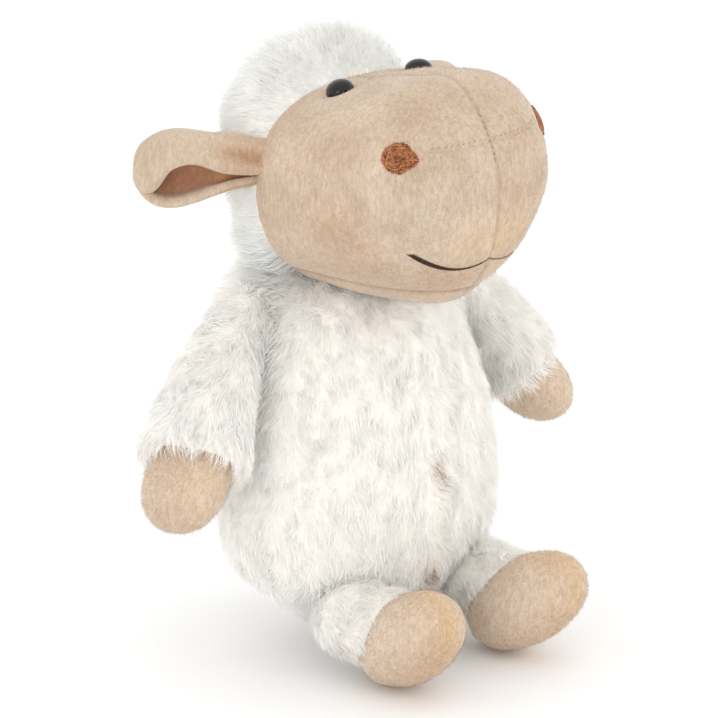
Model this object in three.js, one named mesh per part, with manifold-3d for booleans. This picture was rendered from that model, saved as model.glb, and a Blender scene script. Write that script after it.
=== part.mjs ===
// A sitting plush sheep: pile-fabric skins sewn round loose stuffing. Its neck turns and nods,
// and its arms, legs, ears and tail swing at the seams that hold them.
// Millimetres, +Z up. The sheep faces -Y and sits on Z = 0, and its left side is at +X.
import * as THREE from "three";
import { mergeVertices } from "three/addons/utils/BufferGeometryUtils.js";
import Module from "manifold-3d";

const wasm = await Module();
wasm.setup();

// Fabrics, thread and the gaps between pieces
const PLUSH_THICKNESS = 6; // white long-pile fabric, backing and pile together
const VELBOA_THICKNESS = 2.6; // tan short-pile fabric
const SEAM_GAP = 0.35; // between two fabrics that meet at a seam
const FILL_GAP = 0.3; // between a skin and the stuffing inside it
const SWING_GAP = 0.7; // round the root of a limb, an ear or the tail
const ROOM_GAP = 1.8; // between a limb and the coarser outline that its room is cut by
const NECK_GAP = 1; // between the head and the round top of the trunk
const THREAD_HEIGHT = 0.8; // how far embroidery stands on its fabric
const FLAT_DEPTH = 0.5; // stuffed forms are pressed flat this deep where they rest

// Trunk
const TRUNK_HEIGHT = 150; // from the surface to the shoulders
const TRUNK_WIDTH = 143;
const TRUNK_DEPTH = 99;
const TRUNK_LEAN = 8; // the shoulders lie this far behind the middle of the seat
const SEAT_SEAM_HEIGHT = 12; // seam between the seat panel and the side panels
const SIDE_SEAM_SET = 6; // the side seams lie this far behind the middle of the trunk
const BAG_WIDTH = 42;
const BAG_DEPTH = 30;
const BAG_HEIGHT = 24;

// Neck
const NECK_RADIUS = 50; // of the round shoulders that the head turns on
const NECK_RISE = 24; // how far the top of that round stands above the shoulders
const NECK_PLUG_RADIUS = 24;
const NECK_PLUG_DEPTH = 26;

// Head
const HEAD_LENGTH = 140;
const HEAD_WIDTH = 114;
const HEAD_HEIGHT = 110;
const HEAD_DROP = 18.3; // the chin hangs this far below the top of the neck's round
const NOSE_REACH = 94; // from the middle of the neck to the tip of the muzzle
const HEAD_FULLNESS = 2.5; // of the upper half: 2 is a plain oval section, more is squarer
const CAP_SEAM_REACH = 3; // the white cap starts this far before the middle of the neck
const CHIN_SEAM_RISE = 15.5; // the chin panel's seam lies this far above the chin

// Face
const EYE_DIAMETER = 12;
const EYE_DOME_HEIGHT = 5;
const EYE_SET = 16.9; // the eyes lie this far before the cap's seam
const EYE_SEAT_DEPTH = 0.5; // of the dome's flat back below the middle of its place
const EYE_SHANK_DIAMETER = 3;
const EYE_SHANK_LENGTH = 11;
const WASHER_DIAMETER = 13;
const WASHER_THICKNESS = 1.4;
const WASHER_DROP = 2.4; // below the fabric's underside, which curves away round it
const NOSTRIL_WIDTH = 15.5;
const NOSTRIL_HEIGHT = 14.5;
const DART_WIDTH = 0.7; // of the dart from the muzzle's middle seam to each nostril
const DART_LENGTH = 27;
const MOUTH_WIDTH = 68;
const MOUTH_DIP = 3;
const MOUTH_SMILE = 6.5;
const MOUTH_THREAD = 2.2;

// Ears
const EAR_LENGTH = 48.5;
const EAR_HEIGHT = 30;
const EAR_CURL = 21; // how far the folded ear reaches forward from its back
const EAR_LAYER = 2; // thickness of each of its two fabrics
const EAR_SWEEP = 56; // degrees back from straight out
const EAR_DROOP = 8; // degrees below level
const EAR_ROOT_RADIUS = 10;
const EAR_ROOT_LENGTH = 24;

// Arms
const SHOULDER_SPREAD = 101; // between the two shoulder pivots
const SHOULDER_HEIGHT = 150;
const SHOULDER_SET_BACK = 16; // behind the trunk's middle
const ARM_LENGTH = 100; // from the pivot to the end of the paw
const ARM_BREADTH = 53;
const ARM_THICKNESS = 38;
const ARM_BOW = 4.5; // the sleeve's middle bulges this far up and out
const ARM_HANG = 49; // degrees below level
const ARM_FORWARD = 19.5; // degrees forward of straight out
const PAW_SHOWN = 33; // of the arm's length, past the sleeve's cuff
const PAW_BREADTH = 43;
const PAW_THICKNESS = 31;
const PAW_LENGTH = 47;

// Legs
const HIP_SPREAD = 72; // between the two hip pivots
const HIP_FORWARD = 36;
const HIP_HEIGHT = 26;
const LEG_DIAMETER = 40;
const FOOT_LENGTH = 64;
const FOOT_WIDTH = 41;
const FOOT_THICKNESS = 39;
const FOOT_REACH = 32; // from the hip pivot forward to the middle of the foot
const FOOT_DROP = 1.2; // the middle of the foot lies this far below the hip pivot
const FOOT_TOE_IN = 2.5; // the feet stand this much nearer the middle than the hips
const FOOT_TILT = 36; // degrees, toes up
const FOOT_SPLAY = 9; // degrees, toes out

// Tail
const TAIL_LENGTH = 30;
const TAIL_WIDTH = 24;
const TAIL_THICKNESS = 17;
const TAIL_HEIGHT = 46;
const TAIL_HANG = 52; // degrees below level

// Shares of the sizes above along each form, from its first end to its last.
// Trunk: height, width, depth, lean
const TRUNK_SHARES = [
  [0, 0.27, 0.33, 0],
  [0.04, 0.38, 0.43, 0],
  [0.085, 0.5, 0.56, 0],
  [0.14, 0.65, 0.71, 0],
  [0.2, 0.81, 0.85, 0],
  [0.28, 0.945, 0.95, 0],
  [0.39, 1, 1, 0],
  [0.56, 0.965, 0.99, 0.05],
  [0.72, 0.895, 0.95, 0.2],
  [0.86, 0.8, 0.89, 0.5],
  [1, 0.66, 0.8, 1],
  [1.08, 0.46, 0.6, 1],
];
// Head: way round from the muzzle to the back, height of the widest place, rise above it,
// fall below it, width, fullness of the lower half
const HEAD_SHARES = [
  [0, 0.53, 0.46, 0.573, 1.17, 1.7],
  [0.12, 0.53, 0.46, 0.573, 1.17, 1.7],
  [0.29, 0.53, 0.495, 0.574, 1.02, 1.7],
  [0.43, 0.5, 0.426, 0.506, 0.98, 1.8],
  [0.6, 0.47, 0.396, 0.48, 1.045, 2],
  [0.72, 0.5, 0.585, 0.549, 1.12, 2.2],
  [0.85, 0.5, 0.66, 0.632, 1.22, 2.2],
  [1, 0.5, 0.6, 0.55, 1.2, 2],
];
const HEAD_BLUNTNESS = 0.8; // below 1 the ends are blunter than an oval's
// Sleeve: length, breadth, thickness
const SLEEVE_SHARES = [
  [0, 0.54, 0.75],
  [0.35, 0.77, 0.94],
  [0.6, 0.92, 1.06],
  [0.93, 1.03, 1.14],
  [1, 0.98, 1.08],
];
// Ear: length, height, curl, and how far the lip hangs down towards the lower rim
const EAR_SHARES = [
  [0, 0.69, 0.5, 1],
  [0.14, 0.7, 0.6, 0.7],
  [0.3, 0.79, 0.78, 0.3],
  [0.45, 0.91, 0.95, 0.05],
  [0.62, 1, 1, 0],
  [0.78, 0.92, 0.92, 0.3],
  [0.9, 0.66, 0.66, 0.5],
  [1, 0.3, 0.3, 0.4],
];
const EAR_LIP_DROP_SHARE = 0.24; // of the ear's height, where the lip hangs lowest
// Ear section from its lower rim, up its back and over to the lip: way round, forward, up
const EAR_FOLD_SHARES = [
  [0, 0.28, -0.52],
  [0.18, -0.12, -0.4],
  [0.38, -0.36, -0.1],
  [0.56, -0.3, 0.26],
  [0.7, -0.02, 0.47],
  [0.84, 0.36, 0.4],
  [1, 0.5, -0.02],
];
const EYE_ROUND_SHARE = 0.199;
const NOSTRIL_PLACE_SHARES = { along: 0.242, round: 0.071 };
const MOUTH_HEIGHT_SHARE = 0.273;
const NOSE_SEAM_HEIGHT_SHARE = 0.741;
const EAR_PLACE_SHARES = { along: 0.61, round: 0.035 };

// Facets
const TRUNK_SIDES = 24;
const TRUNK_RINGS = 10;
const HEAD_SIDES = 26;
const HEAD_RINGS = 14;
const INNER_SIDES = 14;
const INNER_RINGS = 7;
const ROOM_SIDES = 16;
const ROUND_SIDES = 14;
const LIMB_SIDES = 12;
const LIMB_RINGS = 4;
const SWEEP_STEPS = 2;
const MOUTH_STEPS = 20;
const EAR_LENGTH_STEPS = 7;
const EAR_FOLD_STEPS = 8;

// Places that follow from the sizes
const NECK_TOP = TRUNK_HEIGHT + NECK_RISE;
const NECK_CENTRE = new THREE.Vector3(0, TRUNK_LEAN, NECK_TOP - NECK_RADIUS);
const HEAD_BASE = NECK_TOP - HEAD_DROP;
const NOSE_Y = TRUNK_LEAN - NOSE_REACH;
const CAP_SEAM_Y = TRUNK_LEAN - CAP_SEAM_REACH;
const SLEEVE_LENGTH = ARM_LENGTH - PAW_SHOWN;
const CUT_REACH = 2 * (HEAD_LENGTH + TRUNK_HEIGHT);
const MERGE_SHARE = 1e-6;

const X_AXIS = new THREE.Vector3(1, 0, 0);
const Y_AXIS = new THREE.Vector3(0, 1, 0);
const Z_AXIS = new THREE.Vector3(0, 0, 1);
const radians = THREE.MathUtils.degToRad;

// Shapes and solids

// A closed solid of a geometry, with its seams merged and its empty triangles left out.
function solidOf(geometry) {
  const bare = geometry.index ? geometry.toNonIndexed() : geometry.clone();
  bare.deleteAttribute("normal");
  bare.deleteAttribute("uv");
  const merged = mergeVertices(bare, HEAD_LENGTH * MERGE_SHARE);
  const corners = merged.index.array;
  const triVerts = [];
  for (let i = 0; i < corners.length; i += 3) {
    const [a, b, c] = corners.subarray(i, i + 3);
    if (a !== b && b !== c && c !== a) triVerts.push(a, b, c);
  }
  return new wasm.Manifold(
    new wasm.Mesh({
      numProp: 3,
      vertProperties: merged.getAttribute("position").array,
      triVerts: new Uint32Array(triVerts),
    }),
  );
}

function geometryOf(solid) {
  const { vertProperties, triVerts, numProp } = solid.getMesh();
  const places = new Float32Array((vertProperties.length / numProp) * 3);
  for (let i = 0; i < places.length / 3; i++) {
    places.set(vertProperties.subarray(i * numProp, i * numProp + 3), i * 3);
  }
  return new THREE.BufferGeometry()
    .setAttribute("position", new THREE.BufferAttribute(places, 3))
    .setIndex(new THREE.BufferAttribute(new Uint32Array(triVerts), 1));
}

// A geometry of closed rings of points, each ring alike in number, closed at both ends.
function ringGeometry(rings) {
  const sides = rings[0].length;
  const middle = (ring) =>
    ring.reduce((sum, p) => sum.add(p), new THREE.Vector3()).divideScalar(sides);
  const points = [...rings.flat(), middle(rings[0]), middle(rings.at(-1))];
  const index = [];
  for (let r = 0; r + 1 < rings.length; r++) {
    for (let i = 0; i < sides; i++) {
      const a = r * sides + i;
      const b = r * sides + ((i + 1) % sides);
      index.push(a, b, b + sides, a, b + sides, a + sides);
    }
  }
  const last = (rings.length - 1) * sides;
  for (let i = 0; i < sides; i++) {
    const next = (i + 1) % sides;
    index.push(points.length - 2, next, i);
    index.push(points.length - 1, last + i, last + next);
  }
  return facingOut(
    new THREE.BufferGeometry().setFromPoints(points).setIndex(index),
  );
}

// Turns every triangle of a closed geometry round if they face inwards.
function facingOut(geometry) {
  const place = geometry.getAttribute("position");
  const index = geometry.index.array;
  const [a, b, c] = [0, 1, 2].map(() => new THREE.Vector3());
  let volume = 0;
  for (let i = 0; i < index.length; i += 3) {
    a.fromBufferAttribute(place, index[i]);
    b.fromBufferAttribute(place, index[i + 1]);
    c.fromBufferAttribute(place, index[i + 2]);
    volume += a.dot(b.cross(c));
  }
  return volume < 0 ? turned(geometry) : geometry;
}

function turned(geometry) {
  const index = geometry.index.array;
  for (let i = 0; i < index.length; i += 3) {
    [index[i + 1], index[i + 2]] = [index[i + 2], index[i + 1]];
  }
  return geometry;
}

function mirrored(solid) {
  return solidOf(turned(geometryOf(solid).scale(-1, 1, 1)));
}

// One section of a stuffed form: an oval, squarer the fuller it is.
function ovalRing(centre, wide, high, sides, fullness = 2) {
  const power = 2 / fullness;
  return Array.from({ length: sides }, (_, i) => {
    const angle = (2 * Math.PI * i) / sides;
    const c = Math.cos(angle);
    const s = Math.sin(angle);
    return centre
      .clone()
      .addScaledVector(wide, Math.sign(c) * Math.abs(c) ** power)
      .addScaledVector(high, Math.sign(s) * Math.abs(s) ** power);
  });
}

// A row of a table of shares at any place along its first column, on smooth curves.
function rowAt(rows, share) {
  let i = 0;
  while (i < rows.length - 2 && rows[i + 1][0] < share) i++;
  const [from, to] = [rows[i], rows[i + 1]];
  const step = to[0] - from[0];
  const t = (share - from[0]) / step;
  const slope = (k, column) => {
    const before = rows[Math.max(k - 1, 0)];
    const after = rows[Math.min(k + 1, rows.length - 1)];
    return (after[column] - before[column]) / (after[0] - before[0]);
  };
  return from.map((value, column) => {
    const rise = to[column] - value;
    const bendIn = slope(i, column) * step - rise;
    const bendOut = slope(i + 1, column) * step - rise;
    return value + t * rise + t * (1 - t) * ((1 - t) * bendIn - t * bendOut);
  });
}

// Even steps from one value to another, both included.
function steps(from, to, count) {
  return Array.from({ length: count + 1 }, (_, i) =>
    THREE.MathUtils.lerp(from, to, i / count),
  );
}

// A round solid on an axis through a centre. Its section is an oval.
function spheroid(centre, axis, radius, halfLength, sides) {
  const outline = steps(-Math.PI / 2, Math.PI / 2, sides / 2).map(
    (angle) =>
      new THREE.Vector2(radius * Math.cos(angle), halfLength * Math.sin(angle)),
  );
  outline[0].x = 0;
  outline.at(-1).x = 0;
  return roundSolid(outline, centre, axis, sides);
}

// An outline of radius and height turned round an axis that starts at a place.
function roundSolid(outline, place, axis, sides) {
  const geometry = new THREE.LatheGeometry(outline, sides);
  geometry.applyQuaternion(
    new THREE.Quaternion().setFromUnitVectors(Y_AXIS, axis),
  );
  geometry.translate(place.x, place.y, place.z);
  return solidOf(facingOut(mergedIndex(geometry)));
}

function mergedIndex(geometry) {
  geometry.deleteAttribute("normal");
  geometry.deleteAttribute("uv");
  return mergeVertices(geometry, HEAD_LENGTH * MERGE_SHARE);
}

// A large block on one side of a plane: it lies where the normal points.
function blockBeyond(place, normal) {
  const block = new THREE.BoxGeometry(CUT_REACH, CUT_REACH, CUT_REACH);
  block.translate(0, 0, CUT_REACH / 2);
  block.applyQuaternion(
    new THREE.Quaternion().setFromUnitVectors(Z_AXIS, normal),
  );
  block.translate(place.x, place.y, place.z);
  return solidOf(block);
}

// The two parts of a solid on either side of a plane, with a seam's gap between them.
function parted(solid, place, normal) {
  const half = normal.clone().multiplyScalar(SEAM_GAP / 2);
  const beyond = blockBeyond(place.clone().add(half), normal);
  const back = normal.clone().negate();
  const before = blockBeyond(place.clone().sub(half), back);
  return [solid.intersect(beyond), solid.intersect(before)];
}

// A solid turned about an axis through a pivot.
function swung(solid, pivot, axis, degrees) {
  const turn = new THREE.Quaternion().setFromAxisAngle(axis, radians(degrees));
  const geometry = geometryOf(solid);
  geometry.translate(-pivot.x, -pivot.y, -pivot.z);
  geometry.applyQuaternion(turn);
  geometry.translate(pivot.x, pivot.y, pivot.z);
  return solidOf(geometry);
}

// A limb with room cut for a neighbour at every angle that the limb swings through.
function clearedThrough(limb, neighbour, pivot, axis, range) {
  return steps(range[0], range[1], SWEEP_STEPS).reduce(
    (left, degrees) => left.subtract(swung(neighbour, pivot, axis, -degrees)),
    limb,
  );
}

// Trunk

// The trunk's oval form, smaller by an inset all round or larger by a negative one.
function trunkForm(inset, sides, ringCount) {
  const shares = steps(0, 1, ringCount).map(
    (t) => TRUNK_SHARES.at(-1)[0] * t ** 1.3,
  );
  const rings = shares.map((share) => {
    const [, width, depth, lean] = rowAt(TRUNK_SHARES, share);
    const height = inset - FLAT_DEPTH + share * (TRUNK_HEIGHT + FLAT_DEPTH - inset);
    return ovalRing(
      new THREE.Vector3(0, lean * TRUNK_LEAN, height),
      new THREE.Vector3((width * TRUNK_WIDTH) / 2 - inset, 0, 0),
      new THREE.Vector3(0, (depth * TRUNK_DEPTH) / 2 - inset, 0),
      sides,
    );
  });
  const radius = NECK_RADIUS - inset;
  const round = spheroid(NECK_CENTRE, Z_AXIS, radius, radius, sides);
  return solidOf(ringGeometry(rings)).add(round);
}

const GROUND = blockBeyond(new THREE.Vector3(), Z_AXIS.clone().negate());

// The plug of stuffing that fills the neck's opening and carries the head.
function neckPlug(grow) {
  const radius = NECK_PLUG_RADIUS + grow;
  const low = NECK_TOP - NECK_PLUG_DEPTH - grow;
  const roundRadius = NECK_RADIUS;
  const rim = Math.asin(radius / roundRadius);
  const cap = steps(rim, 0, LIMB_RINGS).map(
    (angle) =>
      new THREE.Vector2(
        roundRadius * Math.sin(angle),
        NECK_CENTRE.z + roundRadius * Math.cos(angle) + (grow ? grow : 0),
      ),
  );
  cap.at(-1).x = 0;
  const outline = [
    new THREE.Vector2(0, low),
    new THREE.Vector2(radius, low),
    ...cap,
  ];
  const foot = new THREE.Vector3(0, NECK_CENTRE.y, 0);
  return roundSolid(outline, foot, Z_AXIS, TRUNK_SIDES);
}

// The bag of pellets that weighs the seat down: a rounded lens on a small flat bottom.
function pelletBag(grow) {
  const bottom = PLUSH_THICKNESS + FILL_GAP - FLAT_DEPTH - grow;
  const rings = steps(0, 1, LIMB_RINGS - 1).map((t) => {
    const swell = Math.sin(Math.PI * (0.15 + 0.83 * t)) ** HEAD_BLUNTNESS;
    return ovalRing(
      new THREE.Vector3(0, 0, bottom + t * (BAG_HEIGHT + 2 * grow)),
      new THREE.Vector3((swell * BAG_WIDTH) / 2 + grow, 0, 0),
      new THREE.Vector3(0, (swell * BAG_DEPTH) / 2 + grow, 0),
      INNER_SIDES,
    );
  });
  return solidOf(ringGeometry(rings));
}

// Head

// A point on the head's form. Along runs from the muzzle to the back as a share of half a turn,
// and round runs from the left side over the top as a share of a full turn.
function headPoint(along, round, inset = 0) {
  const [, middle, rise, fall, width, lowFullness] = rowAt(HEAD_SHARES, along);
  const swell = Math.sin(Math.PI * along) ** HEAD_BLUNTNESS;
  const c = Math.cos(2 * Math.PI * round);
  const s = Math.sin(2 * Math.PI * round);
  const power = 2 / (s < 0 ? lowFullness : HEAD_FULLNESS);
  const halfWidth = Math.max((swell * width * HEAD_WIDTH) / 2 - inset, 0);
  const halfHeight = Math.max(swell * (s < 0 ? fall : rise) * HEAD_HEIGHT - inset, 0);
  const length = HEAD_LENGTH - 2 * inset;
  return new THREE.Vector3(
    halfWidth * Math.sign(c) * Math.abs(c) ** power,
    NOSE_Y + inset + (length * (1 - Math.cos(Math.PI * along))) / 2,
    HEAD_BASE + middle * HEAD_HEIGHT +
      halfHeight * Math.sign(s) * Math.abs(s) ** power,
  );
}

// The way the head's surface faces at such a point.
function headNormal(along, round) {
  const small = 0.004;
  const lengthwise = headPoint(along + small, round)
    .sub(headPoint(along - small, round));
  const crosswise = headPoint(along, round + small)
    .sub(headPoint(along, round - small));
  return crosswise.cross(lengthwise).normalize().negate();
}

function headForm(inset, sides, ringCount) {
  const first = 0.035;
  const rings = steps(first, 1 - first, ringCount).map((along) =>
    Array.from({ length: sides }, (_, i) => headPoint(along, i / sides, inset)),
  );
  return solidOf(ringGeometry(rings));
}

const NECK_SOCKET = spheroid(
  NECK_CENTRE,
  Z_AXIS,
  NECK_RADIUS + NECK_GAP,
  NECK_RADIUS + NECK_GAP,
  TRUNK_SIDES,
);

// A straight round rod between two heights on an axis that stands on a place.
function rod(place, axis, radius, from, to, sides = LIMB_SIDES) {
  const outline = [
    new THREE.Vector2(0, from),
    new THREE.Vector2(radius, from),
    new THREE.Vector2(radius, to),
    new THREE.Vector2(0, to),
  ];
  return roundSolid(outline, place, axis, sides);
}

const EYE_DEPTH_SHARE = (CAP_SEAM_Y - EYE_SET - NOSE_Y) / HEAD_LENGTH;
const EYE_ALONG_SHARE = Math.acos(1 - 2 * EYE_DEPTH_SHARE) / Math.PI;
const EYE_PLACE = headPoint(EYE_ALONG_SHARE, EYE_ROUND_SHARE);
const EYE_AXIS = headNormal(EYE_ALONG_SHARE, EYE_ROUND_SHARE);

// A safety eye: a glossy dome with a flat back on a round shank.
function eye() {
  const radius = EYE_DIAMETER / 2;
  const shank = EYE_SHANK_DIAMETER / 2;
  const seat = -EYE_SEAT_DEPTH;
  const outline = [
    new THREE.Vector2(0, seat - EYE_SHANK_LENGTH),
    new THREE.Vector2(shank, seat - EYE_SHANK_LENGTH),
    new THREE.Vector2(shank, seat),
    ...steps(0, Math.PI / 2, LIMB_RINGS).map(
      (angle) =>
        new THREE.Vector2(
          radius * Math.cos(angle),
          seat + EYE_DOME_HEIGHT * Math.sin(angle),
        ),
    ),
  ];
  outline.at(-1).x = 0;
  return roundSolid(outline, EYE_PLACE, EYE_AXIS, ROUND_SIDES);
}

const WASHER_TOP = -VELBOA_THICKNESS - WASHER_DROP;

// The washer that locks the shank behind the fabric.
function eyeWasher() {
  const outer = rod(
    EYE_PLACE,
    EYE_AXIS,
    WASHER_DIAMETER / 2,
    WASHER_TOP - WASHER_THICKNESS,
    WASHER_TOP,
    ROUND_SIDES,
  );
  const hole = rod(
    EYE_PLACE,
    EYE_AXIS,
    EYE_SHANK_DIAMETER / 2 + FILL_GAP,
    -CUT_REACH / 2,
    CUT_REACH / 2,
  );
  return outer.subtract(hole);
}

// Embroidery is a thin layer that stands on the fabric. This is that layer over the whole head.
function threadLayer() {
  const top = headForm(-SEAM_GAP - THREAD_HEIGHT, HEAD_SIDES, HEAD_RINGS);
  return top.subtract(headForm(-SEAM_GAP, HEAD_SIDES, HEAD_RINGS));
}

// A rod of oval section along an axis through a place, as far either way as its reach.
function ovalRod(place, axis, halfWide, halfHigh, reach) {
  const wide = new THREE.Vector3().crossVectors(Z_AXIS, axis).normalize();
  const high = new THREE.Vector3().crossVectors(axis, wide);
  const rings = [-reach, reach].map((along) =>
    ovalRing(
      place.clone().addScaledVector(axis, along),
      wide.clone().multiplyScalar(halfWide),
      high.clone().multiplyScalar(halfHigh),
      ROUND_SIDES,
    ),
  );
  return solidOf(ringGeometry(rings));
}

function nostril(layer) {
  const { along, round } = NOSTRIL_PLACE_SHARES;
  const place = headPoint(along, round);
  const axis = headNormal(along, round);
  const reach = HEAD_WIDTH / 8;
  return layer.intersect(
    ovalRod(place, axis, NOSTRIL_WIDTH / 2, NOSTRIL_HEIGHT / 2, reach),
  );
}

// The line of the mouth: two shallow arcs that meet in the middle and turn up at the ends.
function mouthHeight(share) {
  const off = Math.abs(share);
  return (
    HEAD_BASE +
    MOUTH_HEIGHT_SHARE * HEAD_HEIGHT -
    MOUTH_DIP * Math.sin(Math.PI * off) +
    MOUTH_SMILE * off ** 2.5
  );
}

function mouthStitching(layer) {
  const half = MOUTH_THREAD / 2;
  const [front, back] = [NOSE_Y - HEAD_LENGTH / 8, NOSE_Y + HEAD_LENGTH / 3];
  const rings = steps(-1, 1, MOUTH_STEPS).map((share) => {
    const x = (share * MOUTH_WIDTH) / 2;
    const z = mouthHeight(share);
    return [
      new THREE.Vector3(x, front, z - half),
      new THREE.Vector3(x, front, z + half),
      new THREE.Vector3(x, back, z + half),
      new THREE.Vector3(x, back, z - half),
    ];
  });
  return layer.intersect(solidOf(ringGeometry(rings)));
}

// A cut across the fabric from the muzzle's middle seam to each nostril.
function darts() {
  const depth = HEAD_LENGTH / 2;
  const cut = new THREE.BoxGeometry(2 * DART_LENGTH, depth, DART_WIDTH);
  cut.translate(0, NOSE_Y, HEAD_BASE + NOSE_SEAM_HEIGHT_SHARE * HEAD_HEIGHT);
  return solidOf(cut);
}

// Ears

const EAR_PLACE = headPoint(EAR_PLACE_SHARES.along, EAR_PLACE_SHARES.round);
const EAR_OUT = new THREE.Vector3(
  Math.cos(radians(EAR_SWEEP)) * Math.cos(radians(EAR_DROOP)),
  Math.sin(radians(EAR_SWEEP)) * Math.cos(radians(EAR_DROOP)),
  -Math.sin(radians(EAR_DROOP)),
);
const EAR_FACING = new THREE.Vector3().crossVectors(EAR_OUT, Z_AXIS).normalize();
const EAR_RANGE = [-20, 20];

// A point on the middle of the folded ear: along its length, and round from rim to lip.
function earPoint(along, round) {
  const [, height, curl, hang] = rowAt(EAR_SHARES, along);
  const [, forward, top] = rowAt(EAR_FOLD_SHARES, round);
  const lip = THREE.MathUtils.smoothstep(round, 0.7, 1);
  const up = top - lip * hang * EAR_LIP_DROP_SHARE;
  return EAR_PLACE.clone()
    .addScaledVector(EAR_OUT, along * EAR_LENGTH)
    .addScaledVector(EAR_FACING, forward * curl * EAR_CURL)
    .addScaledVector(Z_AXIS, up * height * EAR_HEIGHT);
}

// The ear's surface at a distance from its middle, towards its hollow when positive.
function earGrid(offset, lengthSteps, roundSteps) {
  const small = 0.01;
  return steps(0, 1, lengthSteps).map((along) =>
    steps(0, 1, roundSteps).map((round) => {
      const [a, b] = [Math.max(along - small, 0), Math.min(along + small, 1)];
      const [c, d] = [Math.max(round - small, 0), Math.min(round + small, 1)];
      const lengthwise = earPoint(b, round).sub(earPoint(a, round));
      const crosswise = earPoint(along, d).sub(earPoint(along, c));
      const normal = lengthwise.cross(crosswise).normalize();
      return earPoint(along, round).addScaledVector(normal, offset);
    }),
  );
}

// A closed sheet between two grids of points.
function sheetGeometry(one, other) {
  const [rows, columns] = [one.length, one[0].length];
  const points = [...one.flat(), ...other.flat()];
  const index = [];
  const at = (side, r, c) => side * rows * columns + r * columns + c;
  const quad = (a, b, c, d) => index.push(a, b, c, a, c, d);
  for (let r = 0; r + 1 < rows; r++) {
    for (let c = 0; c + 1 < columns; c++) {
      quad(at(0, r, c), at(0, r + 1, c), at(0, r + 1, c + 1), at(0, r, c + 1));
      quad(at(1, r, c), at(1, r, c + 1), at(1, r + 1, c + 1), at(1, r + 1, c));
    }
    quad(at(0, r, 0), at(1, r, 0), at(1, r + 1, 0), at(0, r + 1, 0));
    const last = columns - 1;
    quad(at(0, r, last), at(0, r + 1, last), at(1, r + 1, last), at(1, r, last));
  }
  for (let c = 0; c + 1 < columns; c++) {
    quad(at(0, 0, c), at(0, 0, c + 1), at(1, 0, c + 1), at(1, 0, c));
    const last = rows - 1;
    quad(at(0, last, c), at(1, last, c), at(1, last, c + 1), at(0, last, c + 1));
  }
  return facingOut(
    new THREE.BufferGeometry().setFromPoints(points).setIndex(index),
  );
}

function earLayer(from, to) {
  return solidOf(
    sheetGeometry(
      earGrid(from, EAR_LENGTH_STEPS, EAR_FOLD_STEPS),
      earGrid(to, EAR_LENGTH_STEPS, EAR_FOLD_STEPS),
    ),
  );
}

function earRoot(grow) {
  return spheroid(
    EAR_PLACE,
    EAR_FACING,
    EAR_ROOT_RADIUS + grow,
    EAR_ROOT_LENGTH / 2 + grow,
    LIMB_SIDES,
  );
}

// The ear's two fabrics. The outer one is gathered into the root that the head's seam holds.
function ear(head) {
  const half = SEAM_GAP / 2;
  const cleared = (solid) =>
    clearedThrough(solid, head, EAR_PLACE, EAR_FACING, EAR_RANGE);
  const lining = cleared(earLayer(half, half + EAR_LAYER));
  const back = cleared(earLayer(-half, -half - EAR_LAYER));
  const root = earRoot(0);
  return {
    ear_back: back.add(root),
    ear_lining: lining.subtract(earRoot(SEAM_GAP)),
  };
}

// Arms

const SHOULDER = new THREE.Vector3(
  SHOULDER_SPREAD / 2,
  SHOULDER_SET_BACK,
  SHOULDER_HEIGHT,
);
const ARM_OUT = new THREE.Vector3(
  Math.cos(radians(ARM_HANG)) * Math.cos(radians(ARM_FORWARD)),
  -Math.cos(radians(ARM_HANG)) * Math.sin(radians(ARM_FORWARD)),
  -Math.sin(radians(ARM_HANG)),
);
const ARM_SIDE = new THREE.Vector3().crossVectors(ARM_OUT, Y_AXIS).normalize();
const ARM_FRONT = new THREE.Vector3().crossVectors(ARM_SIDE, ARM_OUT);
const ARM_LIFT_AXIS = Y_AXIS.clone().negate();
const ARM_RANGE = [0, 40];

// A stuffed tube of rows [along, half breadth, half thickness, bow] from a place.
function limbTube(place, out, front, side, rows, sides = LIMB_SIDES) {
  const rings = rows.map(([along, halfBreadth, halfThickness, bow = 0]) =>
    ovalRing(
      place.clone().addScaledVector(out, along).addScaledVector(side, bow),
      front.clone().multiplyScalar(halfBreadth),
      side.clone().multiplyScalar(halfThickness),
      sides,
    ),
  );
  return solidOf(ringGeometry(rings));
}

// Rows for a form with two round ends: half a turn from one end to the other.
function eggRows(from, to, halfBreadth, halfThickness, rings) {
  const small = 0.06;
  return steps(small, 1 - small, rings).map((t) => {
    const swell = Math.sin(Math.PI * t) ** HEAD_BLUNTNESS;
    const along = THREE.MathUtils.lerp(from, to, (1 - Math.cos(Math.PI * t)) / 2);
    return [along, swell * halfBreadth, swell * halfThickness];
  });
}

// The sleeve's form, smaller by an inset and longer by an extra reach at the cuff.
function sleeveForm(inset, extra) {
  const rows = steps(0, 1, LIMB_RINGS).map((share) => {
    const [, breadth, thickness] = rowAt(SLEEVE_SHARES, share);
    return [
      share * SLEEVE_LENGTH,
      (breadth * ARM_BREADTH) / 2 - inset,
      (thickness * ARM_THICKNESS) / 2 - inset,
      ARM_BOW * Math.sin(Math.PI * share),
    ];
  });
  if (extra) {
    const [, breadth, thickness] = rows.at(-1);
    rows.push([SLEEVE_LENGTH + extra, breadth - extra, thickness - extra]);
  }
  return limbTube(SHOULDER, ARM_OUT, ARM_FRONT, ARM_SIDE, rows);
}

function armRoot(grow) {
  const [, breadth, thickness] = SLEEVE_SHARES[0];
  return spheroid(
    SHOULDER,
    Y_AXIS,
    (thickness * ARM_THICKNESS) / 2 + grow,
    (breadth * ARM_BREADTH) / 2 + grow,
    ROUND_SIDES,
  );
}

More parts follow.
